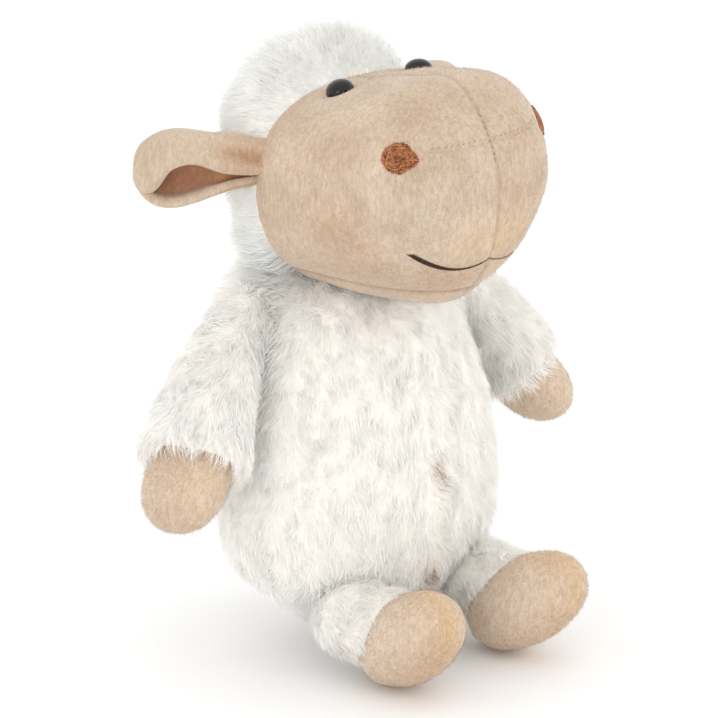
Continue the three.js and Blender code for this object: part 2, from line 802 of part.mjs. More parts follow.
function pawForm(inset) {
  const rows = eggRows(
    ARM_LENGTH - PAW_LENGTH + inset,
    ARM_LENGTH - inset,
    PAW_BREADTH / 2 - inset,
    PAW_THICKNESS / 2 - inset,
    LIMB_RINGS + 1,
  );
  return limbTube(SHOULDER, ARM_OUT, ARM_FRONT, ARM_SIDE, rows);
}

function arm(trunk) {
  const cleared = (solid) =>
    clearedThrough(solid, trunk, SHOULDER, ARM_LIFT_AXIS, ARM_RANGE);
  const fill = PLUSH_THICKNESS + FILL_GAP;
  const cuff = SHOULDER.clone().addScaledVector(ARM_OUT, SLEEVE_LENGTH + SEAM_GAP);
  const beyondCuff = blockBeyond(cuff, ARM_OUT);
  const outer = cleared(sleeveForm(0, 0)).add(armRoot(0));
  const hollow = sleeveForm(PLUSH_THICKNESS, PLUSH_THICKNESS).add(
    armRoot(-PLUSH_THICKNESS),
  );
  const paw = pawForm(0).subtract(pawForm(VELBOA_THICKNESS));
  const inPaw = pawForm(VELBOA_THICKNESS + FILL_GAP);
  const inSleeve = sleeveForm(fill, 0);
  return {
    sleeve: outer.subtract(hollow),
    paw: paw.intersect(beyondCuff),
    arm_filling: cleared(inSleeve).add(armRoot(-fill)).add(inPaw),
  };
}

// Legs

const HIP = new THREE.Vector3(
  HIP_SPREAD / 2,
  -HIP_FORWARD,
  HIP_HEIGHT,
);
const FOOT_MIDDLE = HIP.clone().add(
  new THREE.Vector3(-FOOT_TOE_IN, -FOOT_REACH, -FOOT_DROP),
);
const LEG_OUT = FOOT_MIDDLE.clone().sub(HIP).normalize();
const LEG_SIDE = new THREE.Vector3().crossVectors(Z_AXIS, LEG_OUT).normalize();
const LEG_TOP = new THREE.Vector3().crossVectors(LEG_OUT, LEG_SIDE);
const FOOT_OUT = new THREE.Vector3(
  Math.cos(radians(FOOT_TILT)) * Math.sin(radians(FOOT_SPLAY)),
  -Math.cos(radians(FOOT_TILT)) * Math.cos(radians(FOOT_SPLAY)),
  Math.sin(radians(FOOT_TILT)),
);
const FOOT_SIDE = new THREE.Vector3().crossVectors(Z_AXIS, FOOT_OUT).normalize();
const FOOT_TOP = new THREE.Vector3().crossVectors(FOOT_OUT, FOOT_SIDE);
const HIP_RANGE = [-8, 22];

function legTube(inset, length) {
  const radius = LEG_DIAMETER / 2 - inset;
  const rows = steps(0, length, LIMB_RINGS / 2).map((along) => [
    along,
    radius,
    radius,
  ]);
  return limbTube(HIP, LEG_OUT, LEG_SIDE, LEG_TOP, rows);
}

function legRoot(grow) {
  const radius = LEG_DIAMETER / 2 + grow;
  return spheroid(HIP, Z_AXIS, radius, radius, ROUND_SIDES);
}

function footForm(inset) {
  const rows = eggRows(
    inset - FOOT_LENGTH / 2,
    FOOT_LENGTH / 2 - inset,
    FOOT_WIDTH / 2 - inset,
    FOOT_THICKNESS / 2 - inset,
    LIMB_RINGS + 2,
  );
  return limbTube(FOOT_MIDDLE, FOOT_OUT, FOOT_SIDE, FOOT_TOP, rows);
}

function leg(trunk) {
  const cleared = (solid) =>
    clearedThrough(solid, trunk, HIP, Z_AXIS, HIP_RANGE);
  const fill = PLUSH_THICKNESS + FILL_GAP;
  const outer = cleared(legTube(0, FOOT_REACH)).add(legRoot(0));
  const hollow = legTube(PLUSH_THICKNESS, FOOT_REACH).add(
    legRoot(-PLUSH_THICKNESS),
  );
  const inLeg = cleared(legTube(fill, FOOT_REACH)).add(legRoot(-fill));
  const foot = footForm(0).subtract(footForm(VELBOA_THICKNESS));
  const parts = {
    leg: outer.subtract(hollow).subtract(footForm(-SEAM_GAP)),
    foot: foot.subtract(legTube(PLUSH_THICKNESS, FOOT_REACH)),
    leg_filling: inLeg.add(footForm(VELBOA_THICKNESS + FILL_GAP)),
  };
  for (const name of Object.keys(parts)) parts[name] = parts[name].subtract(GROUND);
  return parts;
}

// Tail

const TAIL_PLACE = new THREE.Vector3(0, TRUNK_DEPTH / 2, TAIL_HEIGHT);
const TAIL_OUT = new THREE.Vector3(
  0,
  Math.cos(radians(TAIL_HANG)),
  -Math.sin(radians(TAIL_HANG)),
);
const TAIL_TOP = new THREE.Vector3().crossVectors(X_AXIS, TAIL_OUT);
const TAIL_RANGE = [-5, 35];

function tailRoot(grow) {
  return spheroid(
    TAIL_PLACE,
    X_AXIS,
    TAIL_THICKNESS / 2 + grow,
    TAIL_WIDTH / 2 + grow,
    LIMB_SIDES,
  );
}

function tail(trunk) {
  const half = TAIL_THICKNESS / 2;
  const rows = eggRows(-half, TAIL_LENGTH, TAIL_WIDTH / 2, half, LIMB_RINGS);
  const form = limbTube(TAIL_PLACE, TAIL_OUT, X_AXIS, TAIL_TOP, rows);
  return clearedThrough(form, trunk, TAIL_PLACE, X_AXIS, TAIL_RANGE).add(
    tailRoot(0),
  );
}

// Assembly

const both = (solid) => solid.add(mirrored(solid));

// The largest piece of a solid, without the offcuts that a cut leaves.
function largest(solid) {
  return solid
    .decompose()
    .reduce((most, piece) => (piece.volume() > most.volume() ? piece : most));
}

// The trunk's fabric panels, with openings for the neck, the limbs and the tail.
function trunkPanels(openings) {
  const skin = trunkForm(0, TRUNK_SIDES, TRUNK_RINGS)
    .subtract(trunkForm(PLUSH_THICKNESS, INNER_SIDES, INNER_RINGS))
    .subtract(openings)
    .subtract(GROUND);
  const seatSeam = new THREE.Vector3(0, 0, SEAT_SEAM_HEIGHT);
  const sideSeam = new THREE.Vector3(0, SIDE_SEAM_SET, 0);
  const [sides, seat] = parted(skin, seatSeam, Z_AXIS);
  const [back, front] = parted(sides, sideSeam, Y_AXIS);
  const [left, right] = parted(front, new THREE.Vector3(), X_AXIS);
  return {
    seat_panel: seat,
    back_panel: back,
    belly_panel_left: left,
    belly_panel_right: right,
  };
}

// The head's fabric panels, with openings for the neck, the ears and the eyes.
function headPanels(openings) {
  const capSeam = new THREE.Vector3(0, CAP_SEAM_Y, 0);
  const chinSeam = new THREE.Vector3(0, 0, HEAD_BASE + CHIN_SEAM_RISE);
  const form = headForm(0, HEAD_SIDES, HEAD_RINGS).subtract(openings);
  const inner = (inset) => headForm(inset, INNER_SIDES, INNER_RINGS + 2);
  const [cap] = parted(form.subtract(inner(PLUSH_THICKNESS)), capSeam, Y_AXIS);
  const [, face] = parted(form.subtract(inner(VELBOA_THICKNESS)), capSeam, Y_AXIS);
  const [above, chin] = parted(face, chinSeam, Z_AXIS);
  const [left, right] = parted(above, new THREE.Vector3(), X_AXIS);
  const cuts = darts();
  return {
    head_cap: cap,
    chin_panel: chin,
    face_panel_left: left.subtract(cuts),
    face_panel_right: right.subtract(cuts),
  };
}

function headFilling() {
  const capSeam = new THREE.Vector3(0, CAP_SEAM_Y, 0);
  const inset = VELBOA_THICKNESS + FILL_GAP;
  const inFace = headForm(inset, INNER_SIDES, INNER_RINGS + 2);
  const inCap = headForm(PLUSH_THICKNESS + FILL_GAP, INNER_SIDES, INNER_RINGS + 2);
  const [, front] = parted(inFace, capSeam, Y_AXIS);
  return front.add(inCap);
}

// Colours and finishes
const cloth = (color) =>
  new THREE.MeshStandardMaterial({ color, roughness: 0.95, metalness: 0 });
const PLUSH = cloth(0xf5f2ea);
const VELBOA = cloth(0xd8b89d);
const NOSTRIL_THREAD = cloth(0xb0693f);
const MOUTH_THREAD_BROWN = cloth(0x3c2319);
const STUFFING = cloth(0xfafaf7);
const COTTON = cloth(0xe6dfd0);
const GLOSSY_BLACK = new THREE.MeshStandardMaterial({
  color: 0x0a0a0b,
  roughness: 0.08,
  metalness: 0,
});
const WHITE_PLASTIC = new THREE.MeshStandardMaterial({
  color: 0xe8e8e6,
  roughness: 0.4,
  metalness: 0,
});

const sheep = new THREE.Group();

function addPiece(name, solid, material) {
  const mesh = new THREE.Mesh(geometryOf(largest(solid)), material);
  mesh.name = name;
  sheep.add(mesh);
}

// A piece made for the left side, and its mirror image for the right.
function addPair(name, solid, material) {
  addPiece(`${name}_left`, solid, material);
  addPiece(`${name}_right`, mirrored(solid), material);
}

const trunkRoom = trunkForm(-ROOM_GAP, ROOM_SIDES, TRUNK_RINGS);
const headRoom = headForm(-ROOM_GAP, ROOM_SIDES, INNER_RINGS + 2);
const limbSockets = both(armRoot(SWING_GAP))
  .add(both(legRoot(SWING_GAP)))
  .add(tailRoot(SWING_GAP));
const neckOpening = rod(
  NECK_CENTRE,
  Z_AXIS,
  NECK_PLUG_RADIUS + SEAM_GAP,
  0,
  2 * NECK_RADIUS,
  TRUNK_SIDES,
);
for (const [name, solid] of Object.entries(trunkPanels(limbSockets.add(neckOpening)))) {
  addPiece(name, solid, PLUSH);
}
const trunkStuffing = trunkForm(PLUSH_THICKNESS + FILL_GAP, INNER_SIDES, INNER_RINGS)
  .subtract(limbSockets)
  .subtract(neckPlug(FILL_GAP))
  .subtract(pelletBag(FILL_GAP));
addPiece("trunk_filling", trunkStuffing, STUFFING);
addPiece("pellet_bag", pelletBag(0), COTTON);
addPiece("neck_filling", neckPlug(0), STUFFING);

const shankHole = rod(
  EYE_PLACE,
  EYE_AXIS,
  EYE_SHANK_DIAMETER / 2 + FILL_GAP,
  -EYE_SEAT_DEPTH - EYE_SHANK_LENGTH - FILL_GAP,
  EYE_DIAMETER,
);
const washerRoom = rod(
  EYE_PLACE,
  EYE_AXIS,
  WASHER_DIAMETER / 2 + FILL_GAP,
  WASHER_TOP - WASHER_THICKNESS - FILL_GAP,
  EYE_DIAMETER,
  ROUND_SIDES,
);
const eyeBed = rod(
  EYE_PLACE,
  EYE_AXIS,
  EYE_DIAMETER / 2 + FILL_GAP,
  -EYE_SEAT_DEPTH - FILL_GAP,
  EYE_DIAMETER,
  ROUND_SIDES,
);
const earSockets = both(earRoot(SWING_GAP));
const headOpenings = NECK_SOCKET.add(earSockets).add(both(shankHole.add(eyeBed)));
const skins = headPanels(headOpenings);
addPiece("head_cap", skins.head_cap, PLUSH);
addPiece("face_panel_left", skins.face_panel_left, VELBOA);
addPiece("face_panel_right", skins.face_panel_right, VELBOA);
addPiece("chin_panel", skins.chin_panel, VELBOA);
const headStuffing = headFilling()
  .subtract(headOpenings)
  .subtract(both(washerRoom));
addPiece("head_filling", headStuffing, STUFFING);

addPair("eye", eye(), GLOSSY_BLACK);
addPair("eye_washer", eyeWasher(), WHITE_PLASTIC);
const layer = threadLayer();
addPair("nostril", nostril(layer), NOSTRIL_THREAD);
addPiece("mouth_stitching", mouthStitching(layer), MOUTH_THREAD_BROWN);
for (const [name, solid] of Object.entries(ear(headRoom))) {
  addPair(name, solid, VELBOA);
}

const armParts = arm(trunkRoom);
addPair("sleeve", armParts.sleeve, PLUSH);
addPair("paw", armParts.paw, VELBOA);
addPair("arm_filling", armParts.arm_filling, STUFFING);
const legParts = leg(trunkRoom);
addPair("leg", legParts.leg, PLUSH);
addPair("foot", legParts.foot, VELBOA);
addPair("leg_filling", legParts.leg_filling, STUFFING);
addPiece("tail", tail(trunkRoom), PLUSH);

export default sheep;
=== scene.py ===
import math

import bpy
import numpy as np
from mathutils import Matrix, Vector, noise
from mathutils.bvhtree import BVHTree
from mathutils.kdtree import KDTree


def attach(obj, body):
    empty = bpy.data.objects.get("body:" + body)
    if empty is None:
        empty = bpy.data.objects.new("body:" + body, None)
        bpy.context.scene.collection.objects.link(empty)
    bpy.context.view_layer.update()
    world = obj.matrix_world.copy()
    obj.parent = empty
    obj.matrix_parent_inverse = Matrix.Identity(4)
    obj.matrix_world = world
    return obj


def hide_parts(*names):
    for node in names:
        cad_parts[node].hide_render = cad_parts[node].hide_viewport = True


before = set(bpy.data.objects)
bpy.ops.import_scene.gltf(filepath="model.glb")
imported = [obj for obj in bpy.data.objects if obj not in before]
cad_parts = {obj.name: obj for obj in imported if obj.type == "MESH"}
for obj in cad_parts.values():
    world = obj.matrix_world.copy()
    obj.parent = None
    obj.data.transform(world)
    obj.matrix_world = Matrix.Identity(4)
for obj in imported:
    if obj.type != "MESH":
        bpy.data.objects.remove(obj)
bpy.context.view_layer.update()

MM = 0.001
SIDES = (("left", 1), ("right", -1))
rng = np.random.default_rng(20)

HEAD_VOXEL = 1.1
TRUNK_VOXEL = 2.0
LIMB_COARSENESS = 1
STRAND_THINNING = 1
STRAND_THICKENING = 1

# Camera: the photograph's viewing angle and framing
VIEW_TURN = math.radians(-43)
VIEW_RISE = math.radians(18.6)
VIEW_DISTANCE = 3.0
VIEW_TARGET = Vector((0, 0, 0.123))
METRES_PER_PIXEL = 0.00042
PICTURE_WIDTH = 718
LIGHT_TARGET = Vector((0, 0, 0.13))
FLOOR_REACH = 6000

# Sizes of the forms, as in the frame
TRUNK_HEIGHT, TRUNK_WIDTH, TRUNK_DEPTH, TRUNK_LEAN = 150, 143, 99, 8
FLAT_DEPTH = 0.5
NECK_CENTRE = np.array([0.0, 8.0, 124.0])
NECK_RADIUS = 50
NECK_PLUG_RADIUS, NECK_PLUG_DEPTH = 24, 26
HEAD_LENGTH, HEAD_WIDTH, HEAD_HEIGHT = 140, 114, 110
HEAD_BASE, NOSE_Y = 155.7, -86
HEAD_FULLNESS, BLUNTNESS = 2.5, 0.8
CAP_SEAM_Y = 5.0
NOSE_SEAM_Z = HEAD_BASE + 0.741 * HEAD_HEIGHT
DART_LENGTH = 34
EYE_SHARES = (0.51865, 0.199)
EYE_RADIUS, EYE_RISE, EYE_SUNK = 6.0, 4.6, 2.0
NOSTRIL_SHARES = (0.242, 0.071)
NOSTRIL_REACH = 7.5
MOUTH_REACH, MOUTH_DIP, MOUTH_SMILE = 34, 3, 6.5
MOUTH_Z = HEAD_BASE + 0.273 * HEAD_HEIGHT
EAR_LENGTH, EAR_HEIGHT, EAR_CURL, EAR_THICKNESS = 48.5, 30, 21, 4.0
EAR_SWEEP, EAR_DROOP = math.radians(56), math.radians(8)
EAR_PLACE = np.array([55.901, 7.712, 219.96])
EAR_LIP_DROP_SHARE = 0.24
SHOULDER = np.array([50.5, 16.0, 150.0])
ARM_LENGTH, ARM_BREADTH, ARM_THICKNESS, ARM_BOW = 100, 53, 38, 4.5
ARM_HANG, ARM_FORWARD = math.radians(49), math.radians(19.5)
SLEEVE_LENGTH = 67
PAW_BREADTH, PAW_THICKNESS, PAW_LENGTH = 43, 31, 47
HIP = np.array([36.0, -36.0, 26.0])
LEG_DIAMETER, LEG_LENGTH = 40, 31
FOOT_LENGTH, FOOT_WIDTH, FOOT_THICKNESS = 64, 41, 39
FOOT_MIDDLE = HIP + np.array([-2.5, -32.0, -1.2])
FOOT_TILT, FOOT_SPLAY = math.radians(36), math.radians(9)
TAIL_PLACE = np.array([0.0, 49.5, 46.0])
TAIL_LENGTH, TAIL_WIDTH, TAIL_THICKNESS = 30, 24, 17
TAIL_HANG = math.radians(52)

# Looks that the frame doesn't have: the chin's crease lies a little below the frame's chin seam,
# the ears' bases are tucked in and gathered in pleats, and nostrils and mouth are made of threads
CHIN_SEAM_Z = 168.6
EAR_TUCK, EAR_GATHER, EAR_PLEAT, EAR_PLEATS = 6, 0.38, 2.3, 7
EAR_TIP_SHARE = 0.88
EAR_ROWS, EAR_COLUMNS = 56, 64
NOSTRIL_THREADS, DART_THREADS, MOUTH_THREADS = 230, 12, 70
GOLDEN_ANGLE = 2.39996
STITCH_RADIUS = 0.14

# How deep the skins lie under the frame's surface: the pile fills the rest
PILE_DEPTH = 3.8
NAP_DEPTH = 0.7
TAIL_PILE_DEPTH = 3.0
FLOOR_GAP = 0.25

# How many strands cover each skin and how long they are, and how they are made and lie
PILE_COVERS = {"trunk": (52500, 9), "cap": (21500, 7.5), "sleeve": (13600, 9.5), "leg": (7000, 8.5),
               "tail": (3500, 8.0)}
NAP_COVERS = {"face": (16000, 1.1), "paw": (5000, 1.5), "foot": (7000, 1.3)}
STRANDS_PER_PIECE = 19000
STRAND_BAND, STRAND_MARGIN, STRAND_LOWEST, NAP_WIDTH = 12, 0.3, 0.6, 0.065
SHAGGY = dict(lift=0.42, width=0.113, clump=0.24, tuft=6, swirl=1.4, swirl_size=8, ragged=1.15,
              shades=[0, 1, 2])
# The smooth style's pile mostly takes tone 4, a greyer tone: painted shade on the cap, the top of the head
SMOOTH = dict(lift=0.36, width=0.1, clump=0.2, tuft=14, swirl=0.45, swirl_size=18, ragged=0.75,
              shades=[4, 4, 2])

# Trunk: height, width, depth, lean
TRUNK_SHARES = np.array([
    [0, 0.27, 0.33, 0],
    [0.04, 0.38, 0.43, 0],
    [0.085, 0.5, 0.56, 0],
    [0.14, 0.65, 0.71, 0],
    [0.2, 0.81, 0.85, 0],
    [0.28, 0.945, 0.95, 0],
    [0.39, 1, 1, 0],
    [0.56, 0.965, 0.99, 0.05],
    [0.72, 0.895, 0.95, 0.2],
    [0.86, 0.8, 0.89, 0.5],
    [1, 0.66, 0.8, 1],
    [1.08, 0.46, 0.6, 1],
])
# Head: way round from the muzzle to the back, middle, rise, fall, width, lower fullness
HEAD_SHARES = np.array([
    [0, 0.53, 0.46, 0.573, 1.17, 1.7],
    [0.12, 0.53, 0.46, 0.573, 1.17, 1.7],
    [0.29, 0.53, 0.495, 0.574, 1.02, 1.7],
    [0.43, 0.5, 0.426, 0.506, 0.98, 1.8],
    [0.6, 0.47, 0.396, 0.48, 1.045, 2],
    [0.72, 0.5, 0.585, 0.549, 1.12, 2.2],
    [0.85, 0.5, 0.66, 0.632, 1.22, 2.2],
    [1, 0.5, 0.6, 0.55, 1.2, 2],
])
# Sleeve: length, breadth, thickness
SLEEVE_SHARES = np.array([
    [0, 0.54, 0.75],
    [0.35, 0.77, 0.94],
    [0.6, 0.92, 1.06],
    [0.93, 1.03, 1.14],
    [1, 0.98, 1.08],
])
# Ear: length, height, curl, hang of the lip
EAR_SHARES = np.array([
    [0, 0.69, 0.5, 1],
    [0.14, 0.7, 0.6, 0.7],
    [0.3, 0.79, 0.78, 0.3],
    [0.45, 0.91, 0.95, 0.05],
    [0.62, 1, 1, 0],
    [0.78, 0.92, 0.92, 0.3],
    [0.9, 0.66, 0.66, 0.5],
    [1, 0.3, 0.3, 0.4],
])
# Ear section from its lower rim, up its back and over to the lip: way round, forward, up
EAR_FOLD_SHARES = np.array([
    [0, 0.28, -0.52],
    [0.18, -0.12, -0.4],
    [0.38, -0.36, -0.1],
    [0.56, -0.3, 0.26],
    [0.7, -0.02, 0.47],
    [0.84, 0.36, 0.4],
    [1, 0.5, -0.02],
])


# Numbers


def unit(v):
    v = np.asarray(v, float)
    return v / np.maximum(np.linalg.norm(v, axis=-1, keepdims=True), 1e-9)


def columns(*parts):
    """Numbers side by side along a last axis, each spread to the shape of the others."""
    return np.stack(np.broadcast_arrays(*parts), -1)


def aimed(turn, rise):
    """The way that is turned from straight ahead to the sheep's left, and raised."""
    return np.array([math.sin(turn) * math.cos(rise), -math.cos(turn) * math.cos(rise), math.sin(rise)])


def rows_at(rows, share):
    """A row of a table of shares at any place along its first column, on smooth curves."""
    share = np.asarray(share, float)
    i = np.clip(np.searchsorted(rows[:, 0], share, side="left") - 1, 0, len(rows) - 2)
    before, start, end = rows[np.maximum(i - 1, 0)], rows[i], rows[i + 1]
    after = rows[np.minimum(i + 2, len(rows) - 1)]
    step = end[..., :1] - start[..., :1]
    t = (share[..., None] - start[..., :1]) / step
    rise = end - start
    bend_in = (end - before) / (end[..., :1] - before[..., :1]) * step - rise
    bend_out = (after - start) / (after[..., :1] - start[..., :1]) * step - rise
    return start + t * rise + t * (1 - t) * ((1 - t) * bend_in - t * bend_out)


def ease(start, end, x):
    """Smoothly from 0 at the start to 1 at the end, whichever of the two is higher."""
    t = np.clip((np.asarray(x, float) - start) / (end - start), 0, 1)
    return t * t * (3 - 2 * t)


def hill(x, middle, width):
    """1 at the middle, falling off smoothly on both sides."""
    return np.exp(-((x - middle) / width) ** 2)


def noise_at(points, size, seed):
    """Smooth noise from -1 to 1 at points in millimetres, with features of about that size."""
    shift = Vector((seed * 13.7, seed * 7.1, seed * 3.3))
    return np.array([noise.noise(Vector(p) / size + shift) for p in points])


def lumps_at(points, *layers):
    """Smooth lumps in layers, each of them a height, a size and a seed."""
    return sum(height * noise_at(points, size, seed) for height, size, seed in layers)


def varied(low, spread, count):
    return low + spread * rng.random(count)


def tree_of(points):
    tree = KDTree(len(points))
    for i, p in enumerate(points):
        tree.insert(Vector(p), i)
    tree.balance()
    return tree


# Forms


def head_point(along, turn, inset=0.0):
    row = rows_at(HEAD_SHARES, along)
    middle, rise, fall, width, low_fullness = (row[..., k] for k in range(1, 6))
    swell = np.sin(np.pi * along) ** BLUNTNESS
    c, s = np.cos(2 * np.pi * turn), np.sin(2 * np.pi * turn)
    power = 2 / np.where(s < 0, low_fullness, HEAD_FULLNESS)
    half_width = np.maximum(swell * width * HEAD_WIDTH / 2 - inset, 0)
    half_height = np.maximum(swell * np.where(s < 0, fall, rise) * HEAD_HEIGHT - inset, 0)
    x = half_width * np.sign(c) * np.abs(c) ** power
    y = NOSE_Y + inset + (HEAD_LENGTH - 2 * inset) * (1 - np.cos(np.pi * along)) / 2
    z = HEAD_BASE + middle * HEAD_HEIGHT + half_height * np.sign(s) * np.abs(s) ** power
    return columns(x, y, z)


def oval_rings(centres, wides, highs, sides):
    angle = 2 * np.pi * np.arange(sides) / sides
    c, s = np.cos(angle)[None, :, None], np.sin(angle)[None, :, None]
    return centres[:, None] + wides[:, None] * c + highs[:, None] * s


def ring_mesh(rings):
    """Points and faces of a closed form of rings, each end closed on its middle."""
    count, sides = rings.shape[:2]
    ends = [rings[0].mean(0)[None], rings[-1].mean(0)[None]]
    points = np.concatenate([rings.reshape(-1, 3), *ends])
    faces = []
    for r in range(count - 1):
        for i in range(sides):
            a, b = r * sides + i, r * sides + (i + 1) % sides
            faces.append((a, b, b + sides, a + sides))
    last = (count - 1) * sides
    for i in range(sides):
        j = (i + 1) % sides
        faces.append((len(points) - 2, j, i))
        faces.append((len(points) - 1, last + i, last + j))
    return points, faces


def spheroid(centre, axis, radius, half_length, sides=32):
    axis = unit(axis)
    side = unit(np.cross(axis, [0.3, 0.9, 0.4]))
    angle = np.linspace(-np.pi / 2, np.pi / 2, sides // 2 + 1)[1:-1]
    centres = centre + axis * (half_length * np.sin(angle))[:, None]
    reach = (radius * np.cos(angle))[:, None]
    return ring_mesh(oval_rings(centres, side * reach, np.cross(axis, side) * reach, sides))


def trunk_form(inset):
    share = TRUNK_SHARES[-1, 0] * np.linspace(0, 1, 40) ** 1.3
    _, width, depth, lean = rows_at(TRUNK_SHARES, share).T
    height = inset - FLAT_DEPTH + share * (TRUNK_HEIGHT + FLAT_DEPTH - inset)
    centres = columns(0, lean * TRUNK_LEAN, height)
    wides = columns(width * TRUNK_WIDTH / 2 - inset, 0, 0)
    highs = columns(0, depth * TRUNK_DEPTH / 2 - inset, 0)
    radius = NECK_RADIUS - inset
    return [ring_mesh(oval_rings(centres, wides, highs, 72)),
            spheroid(NECK_CENTRE, [0, 0, 1], radius, radius, 64)]


def head_form(inset):
    along = np.linspace(0.012, 0.988, 90)[:, None]
    return [ring_mesh(head_point(along, np.arange(112) / 112, inset))]


def limb_tube(place, axes, along, breadth, thickness, bow=0):
    """A closed form of ovals along the first of its axes, bowed along the last."""
    out, front, side = axes
    centres = place + np.outer(along, out) + np.outer(bow + 0 * along, side)
    return ring_mesh(oval_rings(centres, np.outer(breadth, front), np.outer(thickness, side), 40))


def egg(start, end, breadth, thickness, inset):
    """Places along an egg, with its half breadth and half thickness there."""
    t = np.linspace(0.03, 0.97, 28)
    swell = np.sin(np.pi * t) ** BLUNTNESS
    start, end = start + inset, end - inset
    along = start + (end - start) * (1 - np.cos(np.pi * t)) / 2
    return along, swell * (breadth / 2 - inset), swell * (thickness / 2 - inset)


ARM_OUT = aimed(math.pi / 2 - ARM_FORWARD, -ARM_HANG)
ARM_SIDE = unit(np.cross(ARM_OUT, [0, 1, 0]))
ARM_FRONT = np.cross(ARM_SIDE, ARM_OUT)
ARM_AXES = ARM_OUT, ARM_FRONT, ARM_SIDE
LEG_OUT = unit(FOOT_MIDDLE - HIP)
LEG_SIDE = unit(np.cross([0, 0, 1], LEG_OUT))
LEG_AXES = LEG_OUT, LEG_SIDE, np.cross(LEG_OUT, LEG_SIDE)
FOOT_OUT = aimed(FOOT_SPLAY, FOOT_TILT)
FOOT_SIDE = unit(np.cross([0, 0, 1], FOOT_OUT))
FOOT_TOP = np.cross(FOOT_OUT, FOOT_SIDE)
FOOT_AXES = FOOT_OUT, FOOT_SIDE, FOOT_TOP
TAIL_OUT = np.array([0, math.cos(TAIL_HANG), -math.sin(TAIL_HANG)])
TAIL_AXES = TAIL_OUT, [1, 0, 0], np.cross([1, 0, 0], TAIL_OUT)
EAR_OUT = aimed(math.pi / 2 + EAR_SWEEP, -EAR_DROOP)
EAR_FACING = unit(np.cross(EAR_OUT, [0, 0, 1]))
EAR_TUCK_WAY = unit([-1, -0.45, -0.3])
DOWN = np.array([0, 0, -1.0])


def down_arm(p):
    """How far points are from the left shoulder, along the arm."""
    return (p - SHOULDER) @ ARM_OUT


def sleeve_form(inset):
    share = np.linspace(0, 1, 26)
    _, breadth, thickness = rows_at(SLEEVE_SHARES, share).T
    breadth = breadth * ARM_BREADTH / 2 - inset
    thickness = thickness * ARM_THICKNESS / 2 - inset
    bow = ARM_BOW * np.sin(np.pi * share)
    return [limb_tube(SHOULDER, ARM_AXES, share * SLEEVE_LENGTH, breadth, thickness, bow),
            spheroid(SHOULDER, [0, 1, 0], thickness[0], breadth[0])]


def paw_form(inset):
    start = ARM_LENGTH - PAW_LENGTH
    return [limb_tube(SHOULDER, ARM_AXES, *egg(start, ARM_LENGTH, PAW_BREADTH, PAW_THICKNESS, inset))]


def leg_form(inset):
    along = np.linspace(0, LEG_LENGTH, 12)
    radius = LEG_DIAMETER / 2 - inset
    return [limb_tube(HIP, LEG_AXES, along, radius + 0 * along, radius + 0 * along),
            spheroid(HIP, [0, 0, 1], radius, radius)]


def foot_form(inset):
    half = FOOT_LENGTH / 2
    return [limb_tube(FOOT_MIDDLE, FOOT_AXES, *egg(-half, half, FOOT_WIDTH, FOOT_THICKNESS, inset))]


def tail_form(inset):
    start = -TAIL_THICKNESS / 2
    return [limb_tube(TAIL_PLACE, TAIL_AXES, *egg(start, TAIL_LENGTH, TAIL_WIDTH, TAIL_THICKNESS, inset))]


# Meshes


def new_object(name, data, materials=()):
    obj = bpy.data.objects.new(name, data)
    bpy.context.scene.collection.objects.link(obj)
    for material in materials:
        data.materials.append(material)
    return obj


def new_shape(name, points, faces, tones=None, materials=(), smooth=True):
    """An object of points in millimetres. Each face's tone is the number of its material."""
    mesh = bpy.data.meshes.new(name)
    mesh.from_pydata((np.asarray(points) * MM).tolist(), [], faces)
    mesh.update()
    mesh.polygons.foreach_set("use_smooth", np.full(len(faces), smooth))
    if tones is not None:
        mesh.polygons.foreach_set("material_index", np.asarray(tones, np.int32))
    return new_object(name, mesh, materials)


def removed(obj):
    mesh = obj.data
    bpy.data.objects.remove(obj)
    bpy.data.meshes.remove(mesh)


def shown_points(obj):
    """An object's points in millimetres, and its faces, with its modifiers as they are now."""
    shown = obj.evaluated_get(bpy.context.evaluated_depsgraph_get())
    mesh = shown.to_mesh()
    points = np.empty(len(mesh.vertices) * 3)
    mesh.vertices.foreach_get("co", points)
    faces = [tuple(p.vertices) for p in mesh.polygons]
    shown.to_mesh_clear()
    return points.reshape(-1, 3) / MM, faces


def joined(forms):
    points, faces, count = [], [], 0
    for form_points, form_faces in forms:
        points.append(form_points)
        faces += [tuple(i + count for i in face) for face in form_faces]
        count += len(form_points)
    return np.concatenate(points), faces


def remeshed(forms, voxel, smoothing=2):
    """One even skin round overlapping closed forms: its points in millimetres and its faces."""
    obj = new_shape("rough", *joined(forms))
    remesh = obj.modifiers.new("remesh", "REMESH")
    remesh.mode = "VOXEL"
    remesh.voxel_size = voxel * MM
    soften = obj.modifiers.new("soften", "SMOOTH")
    soften.iterations = smoothing
    soften.factor = 0.5
    bpy.context.view_layer.update()
    result = shown_points(obj)
    removed(obj)
    return result


def triangles(faces):
    return np.array([(face[0], face[k], face[k + 1]) for face in faces for k in range(1, len(face) - 1)])


def normals_of(points, tris):
    a, b, c = (points[tris[:, k]] for k in range(3))
    cross = np.cross(b - a, c - a)
    normals = np.zeros_like(points)
    for k in range(3):
        np.add.at(normals, tris[:, k], cross)
    return unit(normals)


def flipped(faces):
    return [tuple(reversed(face)) for face in faces]


def facing_out(points, faces):
    """Faces turned so that a closed form round the origin faces out."""
    tris = triangles(faces)
    a, b, c = (points[tris[:, k]] for k in range(3))
    volume = (a * np.cross(b, c)).sum()
    return faces if volume > 0 else flipped(faces)


